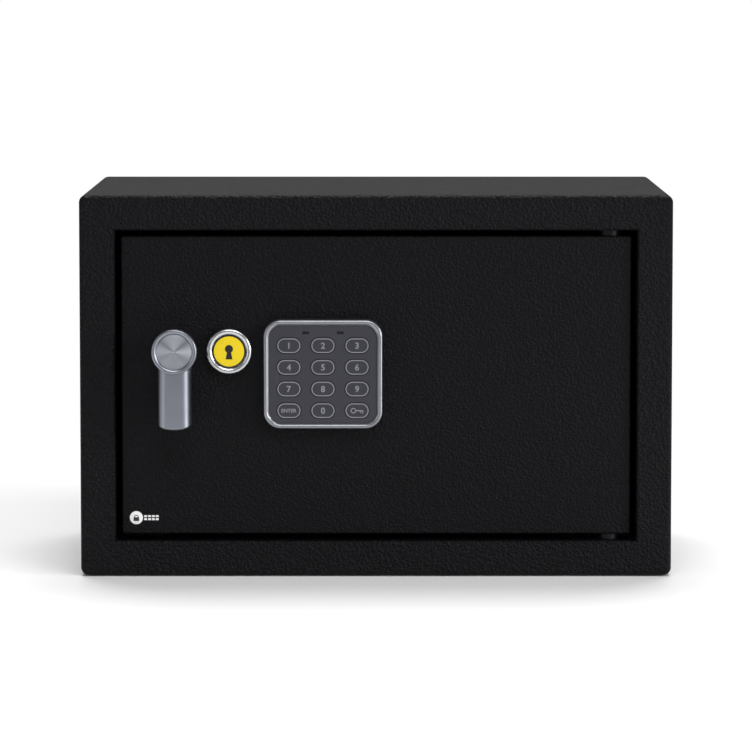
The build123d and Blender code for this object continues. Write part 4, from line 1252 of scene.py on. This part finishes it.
@dataclass
class KeyLock(SubAssembly):
    """The key lock, its cam and its push-on cover.

    Attributes:
        edge: Width of the yellow disc's broken edge.
        rim_r: Width of the dark line round the yellow disc.
        hole_r: Radius of the keyhole pictogram's round.
        hole_rise: How far the round's centre is above the disc's.
        hole_length: From the round's centre down to the pictogram's foot.
        neck_share: How far below the centre the neck starts, as a share of the round's radius.
        foot_flare: How much wider the foot is than the neck.
        print_mm: Thickness of the printed pictogram.
    """

    edge: float = 0.2 * MM
    rim_r: float = 0.7 * MM
    hole_r: float = 2.1 * MM
    hole_rise: float = 1.3 * MM
    hole_length: float = 5.4 * MM
    neck_share: float = 0.86
    foot_flare: float = 1.75
    print_mm: float = 0.05
    plain: ClassVar[tuple[str, ...]] = (
        "lock_cylinder", "lock_nut", "lock_plug", "lock_cam", "cam_screw", "cap_ring",
    )

    def build(self) -> None:
        """Dresses the lock and makes the cover's disc."""
        super().build()
        self.make_disc()

    def make_disc(self) -> None:
        """The yellow disc, with a dark line printed round its edge and a keyhole pictogram."""
        centre, size = front_of("cap_disc")
        radius = size.x / 2
        edge = self.edge
        stations = (
            (radius, size.y),
            (radius, edge),
            (radius - 0.3 * edge, 0.3 * edge),
            (radius - edge, 0.0),
            (radius - edge - self.rim_r, 0.0),
        )
        disc = turned("cover_disc", centre, stations)
        colours = ("cap_yellow", "print_black")
        self.coat(disc, colours)
        with Editing(disc) as edit:
            edit.paint(1)
            edit.pick(Part.FACES, lambda place, _: (place - centre).length < radius / 2)
            edit.paint(0)
        body = Body.KEY_COVER.value
        self.settle(disc, body, "cap_yellow", colours, "cap_disc")
        self.settle(self.keyhole(centre), body, "cap_yellow", ["print_black"])

    def keyhole(self, centre: Vector) -> Piece:
        """A keyhole pictogram, just proud of the disc.

        Args:
            centre: The middle of the disc's front.

        Returns:
            The pictogram.
        """
        thick = self.print_mm * MM
        middle = centre + Vector((0.0, -thick, self.hole_rise))
        made = round_plate("keyhole_print", middle, self.hole_r, 48)
        neck = middle.z - self.neck_share * self.hole_r
        foot = middle - Vector((0.0, 0.0, self.hole_length))
        with Editing(made) as edit:
            edit.pick(Part.EDGES, lambda place, _: place.z < neck)
            edit.extrude((0.0, 0.0, -self.hole_length))
            bpy.ops.transform.resize(value=(self.foot_flare, 1.0, 0.0), center_override=foot)
            edit.whole()
            edit.extrude(Y_AXIS * (thick + SUNK))
        outward(made)
        return made


@dataclass
class Keypad(SubAssembly):
    """The keypad: case, face plate, keys, print and lenses.

    Attributes:
        flange: Width and thickness of the flange that holds a key behind the face plate.
        key_edge: Rounding of a key's front edge.
        margin: From a key's edge to the line printed round it.
        outline: Width of the line.
        dish: How far a key's face is sunk inside the line.
        figure: Height of the figures, and how much their strokes are thickened.
        word: The same for the letters on the enter key.
        print_mm: Thickness of the print.
        loop: How far the key sign's ring is left of the middle, its radius and its wire.
        bars: Each bar of the key sign, as its X and Z limits from the middle, in millimetres.
    """

    flange: tuple[float, float] = (0.5 * MM, 0.9 * MM)
    key_edge: float = 0.14 * MM
    margin: float = 0.05 * MM
    outline: float = 0.5 * MM
    dish: float = 0.05 * MM
    figure: tuple[float, float] = (3.1 * MM, 0.11 * MM)
    word: tuple[float, float] = (1.85 * MM, 0.06 * MM)
    print_mm: float = 0.03
    loop: tuple[float, float, float] = (1.9 * MM, 1.45 * MM, 0.5 * MM)
    bars: ClassVar[tuple[tuple[float, float, float, float], ...]] = (
        (-0.5, 3.2, -0.28, 0.28),
        (1.5, 2.0, -1.2, -0.28),
        (2.6, 3.2, -1.5, -0.28),
    )
    plain: ClassVar[tuple[str, ...]] = (
        "keypad_housing", "keypad_fascia", "led_windows", "keypad_board", "keypad_screws",
    )

    def build(self) -> None:
        """Dresses the case and makes the keys."""
        super().build()
        for name in (*"123456789", "enter", "0", "code"):
            self.make_key(name)

    def make_key(self, name: str) -> None:
        """One key with its printed outline and its sign.

        Args:
            name: The key's name, which its node and body end in.
        """
        node = "key_" + name
        body = "pad_" + name
        centre, size = front_of(node)
        width, thick = self.flange
        colours = ("key_grey", "print_grey")
        cap = stadium(node + "_cap", centre, (size.x - 2 * width, size.z - 2 * width), size.y)
        self.coat(cap, colours)
        self.shape_cap(cap, centre)
        base_front = centre + Y_AXIS * (size.y - thick)
        base = stadium(node + "_base", base_front, (size.x, size.z), thick)
        self.coat(base, colours)
        piece = joined(node + "_moulding", [cap, base])
        smooth(piece)
        self.settle(piece, body, "key_grey", colours, node)
        sign = self.sign(name, centre + Y_AXIS * (self.dish - self.print_mm * MM))
        self.settle(sign, body, "print_white", ["print_grey"])

    def shape_cap(self, cap: Piece, centre: Vector) -> None:
        """Rounds a key's front edge, prints the line inside it and sinks the face inside the line.

        Args:
            cap: The key's front part.
            centre: The middle of its front.
        """
        with Editing(cap) as edit:
            edit.pick(Part.FACES, lambda _, normal: normal.y < -FACING)
            bpy.ops.mesh.bevel(offset=self.key_edge, segments=EDGE_SEGMENTS, affect="EDGES")
            level = centre.y + 1e-6
            edit.pick(Part.FACES, lambda place, normal: normal.y < -0.99 and place.y < level)
            bpy.ops.mesh.inset(thickness=self.margin)
            bpy.ops.mesh.inset(thickness=self.outline)
            mesh = bmesh.from_edit_mesh(cap.data)
            chosen = [face for face in mesh.faces if face.select]
            for face in (near for face in chosen for edge in face.edges for near in edge.link_faces):
                face.material_index = 0 if face.select else 1
            bmesh.update_edit_mesh(cap.data)
            edit.extrude(Y_AXIS * self.dish)

    def sign(self, name: str, front: Vector) -> Piece:
        """A key's printed sign: a figure, the word on the enter key, or a small key.

        Args:
            name: The key's name.
            front: The middle of the sign's front.

        Returns:
            The sign.
        """
        thick = self.print_mm * MM + SUNK
        if name == "code":
            return self.small_key(front, thick)
        height, weight = self.word if name == "enter" else self.figure
        return lettering("print_" + name, name.upper(), front, height, thick, weight)

    def small_key(self, front: Vector, thick: float) -> Piece:
        """A small key sign: a ring, a stem and two teeth.

        Args:
            front: The middle of its front.
            thick: Its thickness.

        Returns:
            The sign.
        """
        offset, radius, wire = self.loop
        ring = round_plate("loop", front - Vector((offset, 0.0, 0.0)), radius, 32)
        with Editing(ring) as edit:
            bpy.ops.mesh.inset(thickness=wire)
            bpy.ops.mesh.delete(type="FACE")
            bpy.ops.mesh.select_all(action="SELECT")
            edit.extrude(Y_AXIS * thick)
        outward(ring)
        pieces = [ring]
        for x_low, x_high, z_low, z_high in self.bars:
            low = front + Vector((x_low, 0.0, z_low)) * MM
            high = front + Vector((x_high * MM, thick, z_high * MM))
            pieces.append(block("bar", low, high))
        return joined("print_code", pieces)


@dataclass
class Electronics(SubAssembly):
    """The solenoid, board, inner cover, batteries and leads.

    Attributes:
        ridge_count: How many grip ridges the battery lid has.
        ridge: Each ridge's length, width and height.
        ridge_pitch: Distance between the ridges, in ridge widths.
        ridge_edge_mm: Rounding of their edges.
    """

    ridge_count: int = 6
    ridge: tuple[float, float, float] = (16.0 * MM, 0.9 * MM, 0.5 * MM)
    ridge_pitch: float = 2.2
    ridge_edge_mm: float = 0.3
    plain: ClassVar[tuple[str, ...]] = (
        "solenoid_frame", "solenoid_coil", "solenoid_plunger", "plunger_spring", "inner_cover",
        "cover_posts", "cover_screws", "control_board", "reset_button", "wiring", "battery_box",
        "battery_cover", "batteries", "battery_contacts",
    )

    def build(self) -> None:
        """Dresses every inner part, and adds the lid's ridges."""
        super().build()
        self.ridge_lid()

    def ridge_lid(self) -> None:
        """A row of grip ridges across the battery lid."""
        _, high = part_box("battery_cover")
        length, width, height = self.ridge
        middle = middle_of("battery_cover")
        pitch = self.ridge_pitch * width
        first = middle.z - pitch * (self.ridge_count - 1) / 2
        half = Vector((length / 2, height, width / 2))
        ridges = []
        for row in range(self.ridge_count):
            centre = Vector((middle.x, high.y, first + row * pitch))
            ridges.append(block("ridge", centre - half, centre + half, self.ridge_edge_mm))
        grip = joined("lid_ridges", ridges)
        self.settle(grip, Body.BATTERY_LID.value, "tray_plastic", ["tray_plastic"])


# Stage


@dataclass(frozen=True)
class SoftBox:
    """A soft studio light.

    Attributes:
        name: Its name.
        place: Where it stands.
        size: Its width and height.
        power: Its power in watts.
        target: What it points at.
    """

    name: str
    place: Place
    size: tuple[float, float]
    power: float
    target: Place = (0.0, -0.1, 0.1)

    def add(self) -> None:
        """Puts the light on the stage."""
        data = bpy.data.lights.new(self.name, "AREA")
        data.shape = "RECTANGLE"
        data.size, data.size_y = self.size
        data.energy = self.power
        lamp = bpy.data.objects.new(self.name, data)
        bpy.context.scene.collection.objects.link(lamp)
        aim = (Vector(self.target) - Vector(self.place)).to_track_quat("-Z", "Y")
        lamp.matrix_world = Matrix.Translation(Vector(self.place)) @ aim.to_matrix().to_4x4()


@dataclass
class Studio:
    """The floor, lights and camera.

    Attributes:
        eye: Where the camera stands.
        tilt_deg: How far it looks down.
        lens_mm: Its lens on a 36 mm sensor.
        floor_size: Side of the floor.
        surround: Brightness of the room around the stage.
        overhead: Strength of the light from above, its spread and its lean from behind, both in degrees.
    """

    eye: Place = (0.0, -2.42, 0.323)
    tilt_deg: float = 5.36
    lens_mm: float = 213.3
    floor_size: float = 1.3
    surround: float = 0.2
    overhead: tuple[float, float, float] = (2.3, 40.0, 28.0)

    def build(self) -> None:
        """Sets up the whole stage."""
        self.lay_floor()
        self.light()
        self.light_room()
        self.stand_camera()

    def lay_floor(self) -> None:
        """A plain pale floor."""
        deselect()
        bpy.ops.mesh.primitive_plane_add(size=self.floor_size, location=(0.0, 0.0, -0.0005))
        floor = bpy.context.object
        floor.name = "studio_floor"
        place_in_mesh(floor)
        graph = Graph("studio_floor")
        graph.set(Base_Color=(0.92, 0.92, 0.92), Roughness=0.9, Specular_IOR_Level=0.1)
        floor.data.materials.append(graph.material)

    def light(self) -> None:
        """Soft boxes at both sides and a wide light from above."""
        for lamp in (
            SoftBox("key_right", (1.75, -1.45, 0.5), (1.5, 1.2), 15.5),
            SoftBox("rim_right", (2.0, -1.0, 0.5), (0.3, 1.1), 17.0),
            SoftBox("fill_left", (-1.85, -1.35, 0.5), (1.7, 1.2), 6.8),
            SoftBox("front_top", (0.3, -1.6, 2.0), (1.6, 1.0), 28.0),
        ):
            lamp.add()
        strength, spread_deg, lean_deg = self.overhead
        data = bpy.data.lights.new("overhead", "SUN")
        data.energy = strength
        data.angle = math.radians(spread_deg)
        lamp = bpy.data.objects.new("overhead", data)
        lamp.rotation_euler = (-math.radians(lean_deg), 0.0, 0.0)
        bpy.context.scene.collection.objects.link(lamp)

    def light_room(self) -> None:
        """A white backdrop to the eye, and a dim room to everything else."""
        world = bpy.data.worlds.new("studio")
        world.use_nodes = True
        tree = world.node_tree
        tree.nodes.clear()
        output = tree.nodes.new("ShaderNodeOutputWorld")
        mix = tree.nodes.new("ShaderNodeMixShader")
        rays = tree.nodes.new("ShaderNodeLightPath")
        for index, strength in ((1, self.surround), (2, 1.0)):
            back = tree.nodes.new("ShaderNodeBackground")
            back.inputs["Color"].default_value = (1.0, 1.0, 1.0, 1.0)
            back.inputs["Strength"].default_value = strength
            tree.links.new(back.outputs[0], mix.inputs[index])
        tree.links.new(rays.outputs["Is Camera Ray"], mix.inputs[0])
        tree.links.new(mix.outputs[0], output.inputs["Surface"])
        bpy.context.scene.world = world

    def stand_camera(self) -> None:
        """The camera, looking slightly down at the door."""
        data = bpy.data.cameras.new("camera")
        data.lens = self.lens_mm
        data.sensor_width = 36.0
        data.clip_end = 200.0
        data.dof.use_dof = False
        camera = bpy.data.objects.new("camera", data)
        camera.location = Vector(self.eye)
        camera.rotation_euler = (math.radians(90.0 - self.tilt_deg), 0.0, 0.0)
        bpy.context.scene.collection.objects.link(camera)
        bpy.context.scene.camera = camera
        bpy.context.scene.view_settings.view_transform = "Standard"


def main() -> None:
    """Builds the safe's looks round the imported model."""
    logging.basicConfig(level=logging.INFO, format="%(name)s: %(message)s")
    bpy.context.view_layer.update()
    Studio().build()
    finishes = Finishes()
    for assembly in (Cabinet, Door, BoltWork, Handle, KeyLock, Keypad, Electronics):
        log.info("building %s", assembly.__name__)
        assembly(finishes).build()
    deselect()


if __name__ == "__main__":
    main()
